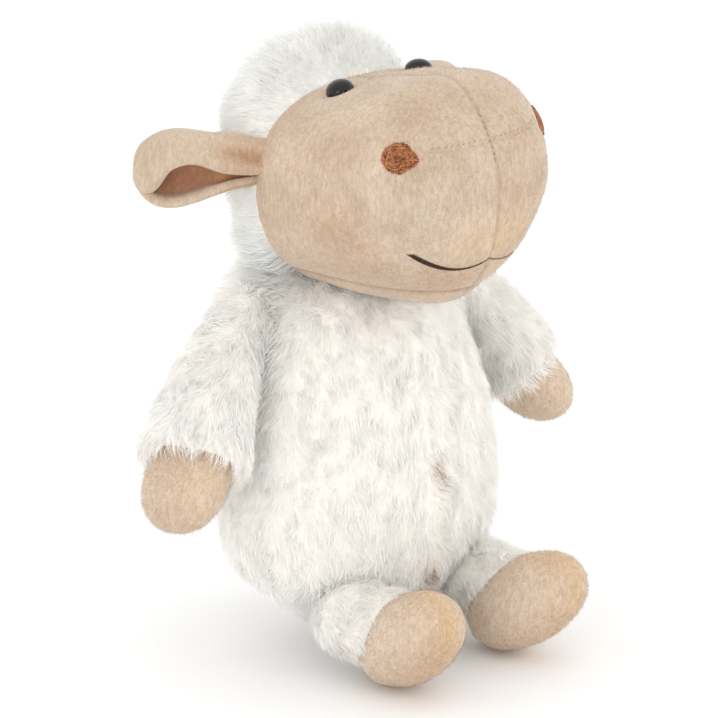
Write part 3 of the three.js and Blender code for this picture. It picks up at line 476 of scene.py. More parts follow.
class Skin:
    """A form's skin: its points, faces and normals, and a tree for the nearest point on it."""

    def __init__(self, points, faces):
        self.points, self.faces = points, faces
        self.tris = triangles(faces)
        self.normals = normals_of(points, self.tris)
        self.tree = BVHTree.FromPolygons([tuple(p) for p in points], faces)

    def moved(self, distance):
        return Skin(self.points + self.normals * np.asarray(distance)[:, None], self.faces)

    def on_side(self, sign):
        """The skin as it is on the left, or its mirror image on the right."""
        if sign > 0:
            return self
        return Skin(self.points * np.array([-1.0, 1.0, 1.0]), flipped(self.faces))

    def depth(self, points):
        """How deep points lie under the skin, and less than 0 outside it."""
        out = np.empty(len(points))
        for i, p in enumerate(points):
            near, normal, _, _ = self.tree.find_nearest(Vector(p))
            out[i] = (near - Vector(p)).dot(normal)
        return out

    def scatter(self, count):
        a, b, c = (self.points[self.tris[:, k]] for k in range(3))
        area = np.linalg.norm(np.cross(b - a, c - a), axis=1)
        pick = rng.choice(len(self.tris), count, p=area / area.sum())
        u, v = rng.random(count), rng.random(count)
        fold = u + v > 1
        u, v = np.where(fold, 1 - u, u), np.where(fold, 1 - v, v)
        w = columns(1 - u - v, u, v)[:, :, None]
        corners = self.tris[pick]
        return (self.points[corners] * w).sum(1), unit((self.normals[corners] * w).sum(1))


# Stuffing: each skin is blown up as cloth that its seams hold back. The first functions say
# which points the seams hold.


def head_held(p):
    face = p[:, 1] < CAP_SEAM_Y
    held = hill(p[:, 1], CAP_SEAM_Y, 3.5)
    held = np.maximum(held, hill(p[:, 0], 0, 3) * face * (p[:, 2] > CHIN_SEAM_Z) * 0.8)
    held = np.maximum(held, hill(p[:, 2], CHIN_SEAM_Z, 3) * face)
    inside = np.linalg.norm(p - NECK_CENTRE, axis=1) < NECK_RADIUS + 4
    return np.maximum(held, inside)


def trunk_held(p):
    front = p[:, 1] < 0
    held = np.maximum(hill(p[:, 0], 0, 3.5) * front * 0.8, hill(np.abs(p[:, 0]), 66, 3) * 0.4)
    return np.maximum(held, np.maximum(p[:, 2] < PILE_DEPTH + 3, p[:, 2] > 150))


def sleeve_held(p):
    along = down_arm(p)
    return np.maximum(ease(16, 6, along), ease(SLEEVE_LENGTH - 10, SLEEVE_LENGTH - 5, along))


def paw_held(p):
    return ease(SLEEVE_LENGTH + 1, SLEEVE_LENGTH - 6, down_arm(p))


def leg_held(p):
    return hill((p - HIP) @ LEG_OUT, LEG_LENGTH, 8)


def foot_held(p):
    edge = hill((p - FOOT_MIDDLE) @ FOOT_TOP, 0, 3) * 0.7
    return np.maximum(edge, p[:, 1] > HIP[1] - 12)


def tail_held(p):
    return ease(4, -4, (p - TAIL_PLACE) @ TAIL_OUT)


# Form, swelling in millimetres, and what holds it
STUFFED_FORMS = {
    "head": (head_form, 2.4, head_held),
    "trunk": (trunk_form, 3.0, trunk_held),
    "sleeve": (sleeve_form, 1.6, sleeve_held),
    "paw": (paw_form, 1.4, paw_held),
    "leg": (leg_form, 1.2, leg_held),
    "foot": (foot_form, 1.6, foot_held),
    "tail": (tail_form, 1.0, tail_held),
}
SIM_VOXEL = 5.0
SIM_FRAMES = 20
SIM_PRESSURE = 4.0


def blown_up():
    """Swells coarse copies of the forms with cloth under pressure. Gives each one's points at
    rest and how far they moved."""
    scene = bpy.context.scene
    made = {}
    for name, (form, most, held) in STUFFED_FORMS.items():
        points, faces = remeshed(form(most), SIM_VOXEL, 1)
        obj = new_shape(name, points, faces)
        group = obj.vertex_groups.new(name="seams")
        for i, weight in enumerate(held(points)):
            group.add([i], float(weight), "REPLACE")
        cloth = obj.modifiers.new("cloth", "CLOTH")
        cloth.settings.quality = 5
        cloth.settings.use_pressure = True
        cloth.settings.uniform_pressure_force = SIM_PRESSURE
        cloth.settings.vertex_group_mass = "seams"
        cloth.settings.effector_weights.gravity = 0
        cloth.point_cache.frame_start = 1
        cloth.point_cache.frame_end = SIM_FRAMES
        made[name] = obj, points
    for frame_number in range(1, SIM_FRAMES + 1):
        scene.frame_set(frame_number)
    result = {name: (points, shown_points(obj)[0] - points) for name, (obj, points) in made.items()}
    for obj, _ in made.values():
        removed(obj)
    scene.frame_set(1)
    return result


stuffing = blown_up()


def swollen(name, skin):
    """How far a fine skin's points go out with the coarse one's, and never more than the most."""
    out = np.zeros(len(skin.points))
    rest, moves = stuffing[name]
    most = STUFFED_FORMS[name][1]
    tree = tree_of(rest)
    for i, p in enumerate(skin.points):
        found = tree.find_n(Vector(p), 5)
        weights = np.array([1 / (d + 0.5) ** 2 for _, _, d in found])
        move = (moves[[k for _, k, _ in found]] * weights[:, None]).sum(0) / weights.sum()
        out[i] = move @ skin.normals[i]
    return most * np.tanh(out / most) - most * 0.5


# Materials


def wired(made, inputs):
    """Gives each of a node's inputs a value, or the output of another node."""
    for key, value in inputs.items():
        if isinstance(value, bpy.types.NodeSocket):
            made.id_data.links.new(value, made.inputs[key])
        else:
            made.inputs[key].default_value = value
    return made


def node(tree, kind, inputs):
    return wired(tree.nodes.new("ShaderNode" + kind), inputs)


def object_place(tree):
    return tree.nodes.new("ShaderNodeTexCoord").outputs["Object"]


def noise_in(tree, place, scale, detail, roughness=0.5, distortion=0.0):
    inputs = {"Vector": place, "Scale": scale, "Detail": detail, "Roughness": roughness,
              "Distortion": distortion}
    return node(tree, "TexNoise", inputs).outputs["Fac"]


def ramp(tree, share, *stops):
    made = node(tree, "ValToRGB", {"Fac": share})
    elements = made.color_ramp.elements
    while len(elements) < len(stops):
        elements.new(0.5)
    for element, (place, color) in zip(elements, stops):
        element.position = place
        element.color = (*color, 1)
    return made.outputs["Color"]


def mixed(tree, share, a, b):
    return node(tree, "Mix", {0: share, 2: a, 3: b}).outputs[0]


def bump(tree, height, strength, distance):
    inputs = {"Height": height, "Strength": strength, "Distance": distance}
    return node(tree, "Bump", inputs).outputs["Normal"]


def new_material(name, roughness, sheen=0.0, specular=0.15):
    material = bpy.data.materials.new(name)
    material.use_nodes = True
    tree = material.node_tree
    shader = wired(tree.nodes["Principled BSDF"], {
        "Roughness": roughness,
        "Sheen Weight": sheen,
        "Specular IOR Level": specular,
    })
    return material, tree, shader


def fibre(name, dark, light, roughness=0.95, sheen=0.0, size=260):
    """Yarn or pile: its colour drifts between two tones from place to place."""
    material, tree, shader = new_material(name, roughness, sheen)
    drift = noise_in(tree, object_place(tree), size, 2)
    wired(shader, {"Base Color": ramp(tree, drift, (0.35, dark), (0.65, light))})
    return material


def nap_cloth(name, dark, middle, light):
    """Short-pile fabric: fine upright ribs of nap and soft patches where it leans other ways,
    all tinted by the mesh's own tint."""
    material, tree, shader = new_material(name, 0.9, 0.3)
    place = object_place(tree)
    mapping = node(tree, "Mapping", {"Vector": place, "Rotation": (0.1, 0.25, 0.3), "Scale": (1, 1, 0.3)})
    flow = mapping.outputs["Vector"]
    ribs = mixed(tree, 0.4, noise_in(tree, flow, 620, 3, 0.55, 0.4), noise_in(tree, flow, 1500, 2, 0.6))
    patchy = mixed(tree, 0.22, ribs, noise_in(tree, place, 36, 2))
    tint = node(tree, "Attribute", {})
    tint.attribute_name = "tint"
    blend = node(tree, "Mix", {})
    blend.data_type = "RGBA"
    blend.blend_type = "MULTIPLY"
    tones = ramp(tree, patchy, (0.4, dark), (0.5, middle), (0.6, light))
    wired(blend, {0: 1.0, 6: tones, 7: tint.outputs["Color"]})
    wired(shader, {
        "Base Color": blend.outputs[2],
        "Normal": bump(tree, ribs, 0.8, 0.0005),
        "Sheen Roughness": 0.5,
    })
    return material


def backing_cloth(name, light, dark):
    """The long pile's backing, seen only between tufts: pale with fine darker gaps."""
    material, tree, shader = new_material(name, 1.0)
    weave = noise_in(tree, object_place(tree), 500, 3, 0.6)
    wired(shader, {
        "Base Color": ramp(tree, weave, (0.35, dark), (0.65, light)),
        "Normal": bump(tree, weave, 1.0, 0.0006),
    })
    return material


def gloss(name, dark, light):
    """Moulded gloss plastic, with the faintest mottle in its depth."""
    material, tree, shader = new_material(name, 0.07, 0.0, 0.25)
    mottle = noise_in(tree, object_place(tree), 240, 2)
    wired(shader, {
        "Base Color": ramp(tree, mottle, (0.4, dark), (0.6, light)),
        "Coat Weight": 0.3,
        "Coat Roughness": 0.04,
    })
    return material


PILE = [
    fibre("pile_plain", (0.988, 0.977, 0.948), (0.994, 0.986, 0.965)),
    fibre("pile_warm", (0.983, 0.966, 0.925), (0.99, 0.977, 0.945)),
    fibre("pile_cream", (0.97, 0.947, 0.897), (0.978, 0.958, 0.915)),
    # Painted shade: a brown tone for strands in the belly seam's parting
    fibre("pile_parting_shade", (0.56, 0.41, 0.33), (0.74, 0.6, 0.51)),
    # Painted shade: a greyer tone that darkens the cap's pile on top of the head
    fibre("pile_crown_shade", (0.865, 0.867, 0.845), (0.895, 0.897, 0.88)),
]
PARTING_SHADE_TONE = 3
FUZZ = [
    fibre("fuzz_plain", (0.5, 0.385, 0.28), (0.545, 0.425, 0.32)),
    fibre("fuzz_light", (0.53, 0.415, 0.315), (0.58, 0.46, 0.355)),
    fibre("fuzz_deep", (0.47, 0.355, 0.25), (0.52, 0.4, 0.29)),
]
EYE_BLACK = gloss("eye_black", (0.003, 0.003, 0.003), (0.006, 0.006, 0.0065))
MOUTH_BROWN = [
    fibre("mouth_thread_deep", (0.035, 0.014, 0.008), (0.06, 0.025, 0.014), 0.6, 0.1, 900),
    # Painted shade: a lighter brown for the thin threads that draw the mouth's faint crease
    fibre("mouth_thread_crease_shade", (0.2, 0.11, 0.07), (0.3, 0.18, 0.12), 0.7, 0.1, 900),
]
NOSTRIL_BROWN = [
    fibre("nostril_thread_plain", (0.3, 0.105, 0.04), (0.4, 0.15, 0.058), 0.65, 0.15, 700),
    fibre("nostril_thread_deep", (0.2, 0.062, 0.024), (0.28, 0.09, 0.034), 0.65, 0.15, 700),
    fibre("nostril_thread_light", (0.42, 0.17, 0.07), (0.5, 0.23, 0.1), 0.65, 0.15, 700),
    fibre("nostril_thread_shadow", (0.09, 0.03, 0.016), (0.14, 0.05, 0.024), 0.65, 0.1, 700),
]
SEAM_THREAD = fibre("seam_thread", (0.34, 0.22, 0.15), (0.43, 0.3, 0.21), 0.7, 0.1, 900)

# Cloths, each a material and a slot's name
WHITE = backing_cloth("pile_backing", (0.985, 0.955, 0.905), (0.95, 0.905, 0.84)), "white_plush"
TAN = (nap_cloth("tan_nap", (0.47, 0.352, 0.249), (0.535, 0.413, 0.303), (0.6, 0.476, 0.363)),
       "tan_velboa")
STUFFING = fibre("stuffing_fibre", (0.9, 0.9, 0.88), (0.97, 0.97, 0.96), 1.0), "stuffing"

# Washes that tint the tan cloth
RUDDY = (0.8, 0.62, 0.5)
DEEP = (0.62, 0.45, 0.36)
# Painted shade: the reddish-brown darkening deep in the ear's hollow
HOLLOW_SHADE = (0.92, 0.6, 0.45)
GOLDEN = (1.04, 0.96, 0.8)
PALE = (1.04, 1.08, 1.15)
LIGHT = (1.16, 1.16, 1.15)


def set_tint(mesh, washes):
    """Each wash is a colour that multiplies the cloth's own, and how much of it each point gets."""
    tint = np.ones((len(mesh.vertices), 4))
    for color, amount in washes:
        amount = np.clip(amount, 0, 1)[:, None]
        tint[:, :3] *= 1 - amount + amount * np.array(color)
    attribute = mesh.attributes.new("tint", "FLOAT_COLOR", "POINT")
    attribute.data.foreach_set("color", tint.ravel().astype(np.float32))


# Pile and thread

STRAND_FACES = [(0, 1, 4, 3), (1, 2, 5, 4), (2, 0, 3, 5), (3, 4, 6), (4, 5, 6), (5, 3, 6), (2, 1, 0)]
SPIKE_FACES = [(0, 1, 3), (1, 2, 3), (2, 0, 3), (2, 1, 0)]


def strands(name, body, materials, roots, middles, tips, widths, tone):
    """Closed three-sided tapering strands that ride on a body, some thousands to an object. They
    are bent at their middles, or straight without them."""
    order = np.argsort(np.floor(roots[:, 2] / STRAND_BAND) * 1000 + roots[:, 0])
    pattern = SPIKE_FACES if middles is None else STRAND_FACES
    sizes = [len(face) for face in pattern]
    loops = np.concatenate(pattern)
    starts = np.cumsum([0, *sizes[:-1]])
    for part, first in enumerate(range(0, len(roots), STRANDS_PER_PIECE)):
        pick = order[first:first + STRANDS_PER_PIECE]
        root, tip, width = roots[pick], tips[pick], widths[pick][:, None]
        side = unit(np.cross(unit(tip - root), [0.31, 0.17, 0.93]))
        other = np.cross(unit(tip - root), side)
        rings = [oval_rings(root, side * width, other * width, 3)]
        if middles is not None:
            rings.append(oval_rings(middles[pick], side * width * 0.8, other * width * 0.8, 3))
        points = np.concatenate([*rings, tip[:, None]], 1)
        points[..., 2] = np.maximum(points[..., 2], FLOOR_GAP)
        count, corners = points.shape[:2]

        def repeated(numbers, step):
            return (np.arange(count)[:, None] * step + numbers).ravel().astype(np.int32)

        mesh = bpy.data.meshes.new(f"{name}_{part}")
        mesh.vertices.add(count * corners)
        mesh.vertices.foreach_set("co", (points * MM).ravel())
        mesh.loops.add(count * len(loops))
        mesh.loops.foreach_set("vertex_index", repeated(loops, corners))
        mesh.polygons.add(count * len(pattern))
        mesh.polygons.foreach_set("loop_start", repeated(starts, len(loops)))
        mesh.polygons.foreach_set("material_index", np.repeat(tone[pick], len(pattern)).astype(np.int32))
        mesh.polygons.foreach_set("use_smooth", np.zeros(count * len(pattern), bool))
        mesh.update(calc_edges=True)
        mesh.validate()
        piece = new_object(f"{name}_{part}", mesh, materials)
        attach(piece, body)


def planted(skin, count, keep):
    """Roots strewn where a skin keeps them, the way it faces there, and how many they are."""
    roots, normals = skin.scatter(count // STRAND_THINNING)
    kept = keep(roots)
    return roots[kept], normals[kept], kept.sum()


def combed(points, normals, flow, swirl, size, seed):
    """The way the pile lies at points: along a flow, in the skin, with soft swirls."""
    lie = unit(flow - normals * (flow * normals).sum(-1, keepdims=True))
    turn = lumps_at(points, (swirl, size, seed), (0.5 * swirl, size / 3, seed + 4))[:, None]
    return lie * np.cos(turn) + np.cross(normals, lie) * np.sin(turn)


def as_they_are(points):
    return 1


def pile(name, body, skin, cover, flow, style, seed, keep, avoid=(),
         longer=as_they_are, lifted=as_they_are, parting=None):
    """Covers a skin with tufts of long strands that ride on a body."""
    count, length = cover
    roots, normals, count = planted(skin, count, keep)
    lie = combed(roots, normals, flow(roots), style["swirl"], style["swirl_size"], seed)
    half = length * varied(0.72, 0.42, count) * longer(roots) * 0.5
    rise = style["lift"] * varied(0.75, 0.5, count) * lifted(roots)
    jitter = rng.normal(0, 0.14 * style["ragged"], (count, 3))
    start = unit(normals * rise[:, None] + lie * 0.8 + jitter * 0.8)
    end = unit(normals * (rise * 0.18)[:, None] + lie + jitter)
    middles = roots + start * half[:, None]
    tips = middles + end * half[:, None]

    # Each strand is drawn towards the nearest tuft's own strand
    centres = rng.choice(count, max(count // style["tuft"], 1), replace=False)
    tree = tree_of(roots[centres])
    nearest = np.array([tree.find(Vector(p))[1] for p in roots])
    owner = centres[nearest]
    drawn = style["clump"] * varied(0.6, 0.8, len(centres))[nearest][:, None]
    offset = roots - roots[owner]
    tips = tips * (1 - drawn) + (tips[owner] + offset * 0.25) * drawn
    middles = middles * (1 - drawn * 0.4) + (middles[owner] + offset * 0.8) * drawn * 0.4
    good = middles[:, 2] > STRAND_LOWEST
    for other in avoid:
        good &= other.depth(tips) < STRAND_MARGIN
        good &= other.depth(middles) < STRAND_MARGIN

    mood = noise_at(roots[owner], 26, seed + 9) * 0.6
    mood = mood + style["ragged"] * rng.normal(0, 0.5, len(centres))[nearest]
    tone = np.array(style["shades"])[np.digitize(mood, [0.45, 1.1])]
    # Painted shade: strands in the belly seam's parting take a brown tone
    if parting is not None:
        tone = np.where(rng.random(count) < parting(roots), PARTING_SHADE_TONE, tone)
    widths = style["width"] * STRAND_THICKENING * varied(0.75, 0.5, count)
    strands(name, body, PILE, (roots - normals * 0.4)[good], middles[good], tips[good],
            widths[good], tone[good])


def nap(name, body, skin, cover, flow, keep):
    """Softens a tan skin with short straight strands that ride on a body."""
    count, length = cover
    roots, normals, count = planted(skin, count, keep)
    lie = combed(roots, normals, flow, 0.9, 14, 3.0)
    long = length * varied(0.6, 0.8, count)
    jitter = rng.normal(0, 0.3, (count, 3))
    tips = roots + unit(normals * 0.9 + lie * 0.6 + jitter) * long[:, None]
    tone = rng.choice(3, count, p=[0.6, 0.25, 0.15])
    widths = NAP_WIDTH * varied(0.7, 0.6, count)
    strands(name, body, FUZZ, roots - normals * 0.2, None, tips, widths, tone)


def thread_tubes(threads, sides):
    """Closed tapering tubes round threads, each a path of points, its radius and its tone. Gives
    points, faces and each face's tone."""
    tubes = []
    for path, radius, _ in threads:
        path = np.array(path)
        radius = np.broadcast_to(radius, len(path))[:, None]
        tangent = unit(np.gradient(path, axis=0))
        side = unit(np.cross(tangent, [0.21, 0.13, 0.97]))
        tubes.append(ring_mesh(oval_rings(path, side * radius, np.cross(tangent, side) * radius, sides)))
    tones = [tone for _, _, tone in threads]
    return *joined(tubes), np.repeat(tones, [len(faces) for _, faces in tubes])


# Head


def ahead_of_cap(y):
    return ease(8, 2, y)


def crease(x, seam, line_width, line_depth, fold_width, fold_depth):
    """How deep a seam is drawn in: a fine line in a soft fold."""
    return hill(x, seam, line_width) * line_depth + hill(x, seam, fold_width) * fold_depth


def head_seam_depth(p):
    """How far seams and what is sewn through the face draw it in, at its points."""
    x, y, z = p.T
    front = ahead_of_cap(y)
    above_chin = ease(CHIN_SEAM_Z - 1, CHIN_SEAM_Z + 3, z)
    on_dart = ease(-45, -58, y) * ease(DART_LENGTH + 1, DART_LENGTH - 5, np.abs(x))
    depth = crease(x, 0, 0.8, 0.6, 4.5, 0.5) * above_chin * front
    depth = np.maximum(depth, crease(z, NOSE_SEAM_Z, 0.8, 0.75, 3.5, 0.5) * on_dart)
    depth = np.maximum(depth, crease(z, CHIN_SEAM_Z, 0.9, 1.0, 4, 0.5) * front)
    return np.maximum(depth, hill(y, CAP_SEAM_Y, 3.0) * 1.3) + eye_bed(p)


def eye_bed(p):
    """The shanks of the eyes pull the face in round them."""
    away = np.linalg.norm(np.abs(p) * [1, 0, 0] + p * [0, 1, 1] - head_point(*EYE_SHARES), axis=1)
    return 1.1 * hill(away, 0, EYE_RADIUS + 2)


def head_part(skin, gap, kept):
    """The kept points of a skin and the faces between them, clear of the trunk's round top."""
    away = skin.points - NECK_CENTRE
    distance = np.linalg.norm(away, axis=1, keepdims=True)
    reach = NECK_RADIUS + gap
    points = np.where(distance < reach, NECK_CENTRE + away / distance * reach, skin.points)
    index = np.cumsum(kept) - 1
    faces = [tuple(index[list(face)]) for face in skin.faces if all(kept[i] for i in face)]
    return Skin(points[kept], faces)


def padded_piece(name, skin, body, cloth, fill, *nodes, washes=()):
    material, slot = cloth
    obj = new_shape(name, skin.points, skin.faces, materials=[material])
    set_tint(obj.data, washes)
    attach(obj, body)
    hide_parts(*nodes)


head_skin = Skin(*remeshed(head_form(0), HEAD_VOXEL))
on_head = head_skin.points
head_out = swollen("head", head_skin)
head_lumps = lumps_at(on_head, (0.5, 24, 2.0), (0.15, 9, 5.0))
tucked = (PILE_DEPTH - NAP_DEPTH + 0.4) * ease(CAP_SEAM_Y - 1.4, CAP_SEAM_Y + 0.6, on_head[:, 1])
face_all = head_skin.moved(-NAP_DEPTH + head_out + head_lumps - head_seam_depth(on_head) - tucked)
cap_all = head_skin.moved(-PILE_DEPTH + head_out + 0.6 * head_lumps)
face_kept = on_head[:, 1] < CAP_SEAM_Y + 0.6
face_skin = head_part(face_all, 0.8, face_kept)
cap_skin = head_part(cap_all, 1.5, on_head[:, 1] > CAP_SEAM_Y - 5.0)

at_face = on_head[face_kept]
x, y, z = at_face.T
across = np.abs(x)
cheek = hill(y, -42, 16) * hill(z, 196, 15) * ease(18, 34, across)
brushed = noise_at(columns(x, y * 0.4 + z * 0.3, z * 0.4 - y * 0.3), 3.5, 6.0)
leaning = noise_at(at_face, 15, 33.0) + 0.4 * brushed
face_washes = [
    (RUDDY, cheek * (0.45 + 0.2 * brushed)),
    (RUDDY, ease(190, 168, z) * 0.16),
    (RUDDY, np.clip(leaning, 0, 1) * 0.4),
    (LIGHT, np.clip(-leaning, 0, 1) * 0.8),
    (RUDDY, ease(-9, 5, y) * 0.22),
    (GOLDEN, hill(z, 196, 14) * ease(-50, -66, y) * ease(30, 16, across) * 0.6),
    (PALE, hill(z, 208, 22) * ease(-46, -68, y) * ease(2, -2, x)),
    (DEEP, hill(x, 0, 0.7) * ahead_of_cap(y) * 0.5),
    (DEEP, hill(z, CHIN_SEAM_Z, 0.9) * ahead_of_cap(y) * 0.6),
]
padded_piece("face_skin", face_skin, "head", TAN, 0.8, "face_panel_left", "face_panel_right",
             "chin_panel", "head_filling", washes=face_washes)
padded_piece("cap_backing", cap_skin, "head", WHITE, 0.8, "head_cap")


# Trunk and neck

trunk_skin = Skin(*remeshed(trunk_form(PILE_DEPTH), TRUNK_VOXEL, 4))
on_trunk = trunk_skin.points
trunk_lumps = lumps_at(on_trunk, (0.9, 40, 7.0), (0.4, 15, 8.0), (0.6, 8, 9.0))
seam_pull = hill(on_trunk[:, 0], 0, 3) * ease(0, -20, on_trunk[:, 1]) * 0.6
trunk_skin = trunk_skin.moved(trunk_lumps + swollen("trunk", trunk_skin) - seam_pull)
trunk_skin.points[:, 2] = np.maximum(trunk_skin.points[:, 2], 1.2)
padded_piece("trunk_backing", trunk_skin, "trunk", WHITE, 0.7, "seat_panel", "back_panel",
             "belly_panel_left", "belly_panel_right", "trunk_filling", "pellet_bag")


def neck_wad():
    """The plug of stuffing in the neck's opening: a lumpy roll under a round top."""
    radius = NECK_PLUG_RADIUS - 0.5
    low = NECK_CENTRE[2] + NECK_RADIUS - NECK_PLUG_DEPTH + 0.5
    top_angle = np.linspace(math.asin(radius / NECK_RADIUS), 0.02, 12)
    reach = np.concatenate([[radius * 0.9, radius, radius, radius], (NECK_RADIUS - 0.5) * np.sin(top_angle)])
    top = NECK_CENTRE[2] + (NECK_RADIUS - 0.5) * np.cos(top_angle)
    height = np.concatenate([[low, low + 2, low + 8, low + 15], top])
    centres = columns(0, NECK_CENTRE[1], height)
    points, faces = ring_mesh(oval_rings(centres, columns(reach, 0, 0), columns(0, reach, 0), 48))
    inward = unit((points - NECK_CENTRE) * [1, 1, 0])
    points = points - inward * (0.6 + 0.5 * noise_at(points, 6, 17.0))[:, None]
    return Skin(points, facing_out(points - NECK_CENTRE, faces))


padded_piece("neck_stuffing", neck_wad(), "neck", STUFFING, 0.6, "neck_filling")


# Limbs


def limb(name, inset, voxel, seed, size=16, height=0.5):
    skin = Skin(*remeshed(STUFFED_FORMS[name][0](inset), voxel * LIMB_COARSENESS))
    bumps = lumps_at(skin.points, (1, size, seed), (0.4, size / 3, seed + 2))
    return skin.moved(height * bumps + swollen(name, skin))


sleeve_skin = limb("sleeve", PILE_DEPTH, 2.0, 11.0)
paw_skin = limb("paw", NAP_DEPTH, 1.2, 12.0, 12, 0.35)
leg_skin = limb("leg", PILE_DEPTH, 2.0, 13.0)
foot_skin = limb("foot", NAP_DEPTH, 1.2, 14.0, 14, 0.35)
foot_skin.points[:, 2] = np.maximum(foot_skin.points[:, 2], FLOOR_GAP)
tail_skin = limb("tail", TAIL_PILE_DEPTH, 1.6, 15.0)

from_foot = foot_skin.points - FOOT_MIDDLE
foot_across = from_foot @ FOOT_SIDE
foot_washes = [
    (LIGHT, np.ones(len(from_foot))),
    (GOLDEN, hill(foot_across, 0, 6) * 0.8),
    (PALE, ease(8, 17, np.abs(foot_across)) * 0.9),
    (RUDDY, ease(0, -16, from_foot @ FOOT_TOP) * 0.25),
    (RUDDY, np.clip(noise_at(foot_skin.points, 7, 19.0), 0, 1) * 0.2),
]
paw_washes = [
    (LIGHT, 0.6 + 0.4 * ease(8, 18, np.abs((paw_skin.points - SHOULDER) @ ARM_FRONT))),
    (RUDDY, np.clip(noise_at(paw_skin.points, 6, 18.0), 0, 1) * 0.2),
    (RUDDY, ease(SLEEVE_LENGTH + 6, SLEEVE_LENGTH - 2, down_arm(paw_skin.points)) * 0.5),
]
left_limbs = {"sleeve": sleeve_skin, "paw": paw_skin, "leg": leg_skin, "foot": foot_skin}
limbs = {}
for side, sign in SIDES:
    limbs[side] = own = {name: skin.on_side(sign) for name, skin in left_limbs.items()}
    for body, upper, lower, washes in (("arm", "sleeve", "paw", paw_washes),
                                       ("leg", "leg", "foot", foot_washes)):
        padded_piece(f"{upper}_backing_{side}", own[upper], f"{body}_{side}", WHITE, 0.75,
                     f"{upper}_{side}", f"{body}_filling_{side}")
        padded_piece(f"{lower}_skin_{side}", own[lower], f"{body}_{side}", TAN, 0.75,
                     f"{lower}_{side}", washes=washes)
padded_piece("tail_backing", tail_skin, "tail", WHITE, 0.75, "tail")


# Ears: a padded fold that closes round its tip and is gathered in pleats where the head holds it


def facing(surface, along, turn, small):
    """The way a surface faces, that gives points for shares from 0 to 1 along and round it."""
    def stepped(share, step):
        return np.clip(share + step, 0, 1)

    lengthwise = surface(stepped(along, small), turn) - surface(stepped(along, -small), turn)
    crosswise = surface(along, stepped(turn, small)) - surface(along, stepped(turn, -small))
    return unit(np.cross(lengthwise, crosswise))


def ear_point(along, turn):
    _, height, curl, hang = np.moveaxis(rows_at(EAR_SHARES, along), -1, 0)
    _, forward, top = np.moveaxis(rows_at(EAR_FOLD_SHARES, turn), -1, 0)
    lip = ease(0.7, 1, turn)
    up = top - lip * hang * EAR_LIP_DROP_SHARE
    up = up + lip * 0.14 * hill(along, 0.42, 0.2)
    closed = ease(0.6, 0.95, along) * lip
    forward = forward + (EAR_FOLD_SHARES[0, 1] - forward) * closed
    up = up + (EAR_FOLD_SHARES[0, 2] * 0.9 - up) * closed
    return (EAR_PLACE + EAR_OUT * (along * EAR_LENGTH)[..., None]
            + EAR_FACING * (forward * curl * EAR_CURL)[..., None]
            - DOWN * (up * height * EAR_HEIGHT)[..., None])


def ear_form():
    """A closed padded sheet, full at its rims, with its places along and round the ear."""
    steps = (1 - np.cos(np.pi * np.arange(EAR_COLUMNS) / (EAR_COLUMNS - 1))) / 2
    run = np.sin(np.pi / 2 * np.linspace(0, 1, EAR_ROWS))
    along, turn = np.meshgrid(-0.12 + 1.12 * run, steps, indexing="ij")
    safe = np.clip(along, 0, 1)
    normal = facing(ear_point, safe, turn, 0.01)
    middle = ear_point(safe, turn) + EAR_OUT * ((along - safe) * EAR_LENGTH)[..., None]
    middle = middle + EAR_TUCK_WAY * (EAR_TUCK * ease(0.2, -0.12, along))[..., None]
    gathered = EAR_GATHER * ease(0.24, -0.1, along)
    middle[..., 2] += (EAR_PLACE[2] - 2 - middle[..., 2]) * gathered
    ring = middle.mean(axis=1, keepdims=True)
    tip = np.clip((along - EAR_TIP_SHARE) / (1 - EAR_TIP_SHARE), 0, 1)[..., None]
    middle = ring + (middle - ring) * np.sqrt(1 - 0.9996 * tip ** 2)
    around = np.linalg.norm(np.diff(middle, axis=1), axis=-1).sum(1)[:, None]
    to_rim = np.minimum(np.minimum(turn, 1 - turn) * around, (1 - along) * EAR_LENGTH)
    roundness = np.clip(to_rim / (EAR_THICKNESS * 0.8), 0, 1)
    half = EAR_THICKNESS / 2 * np.sqrt(1 - (1 - roundness) ** 2)
    half = half * (1 + 0.25 * hill(to_rim, 3.5, 2.5)) + 0.02
    pleat = EAR_PLEAT * np.cos(turn * np.pi * EAR_PLEATS) * ease(0.36, 0.04, along)
    pleat = pleat * ease(0, 4, to_rim)
    sheets = [middle + normal * (pleat + way * half)[..., None] for way in (-1, 1)]
    points = np.concatenate(sheets).reshape(-1, 3)
    return points, sheet_faces(), np.tile(along.ravel(), 2), np.tile(turn.ravel(), 2)


def sheet_faces():
    """The faces of the ear's closed sheet: two grids of points, joined at their four edges."""
    one, other = np.arange(2 * EAR_ROWS * EAR_COLUMNS).reshape(2, EAR_ROWS, EAR_COLUMNS)
    faces = []
    for corners in (
            (one[:-1, :-1], one[1:, :-1], one[1:, 1:], one[:-1, 1:]),
            (other[:-1, :-1], other[:-1, 1:], other[1:, 1:], other[1:, :-1]),
            (one[:-1, 0], other[:-1, 0], other[1:, 0], one[1:, 0]),
            (one[:-1, -1], one[1:, -1], other[1:, -1], other[:-1, -1]),
            (one[0, :-1], one[0, 1:], other[0, 1:], other[0, :-1]),
            (one[-1, :-1], other[-1, :-1], other[-1, 1:], one[-1, 1:])):
        faces += zip(*(corner.ravel().tolist() for corner in corners))
    return faces


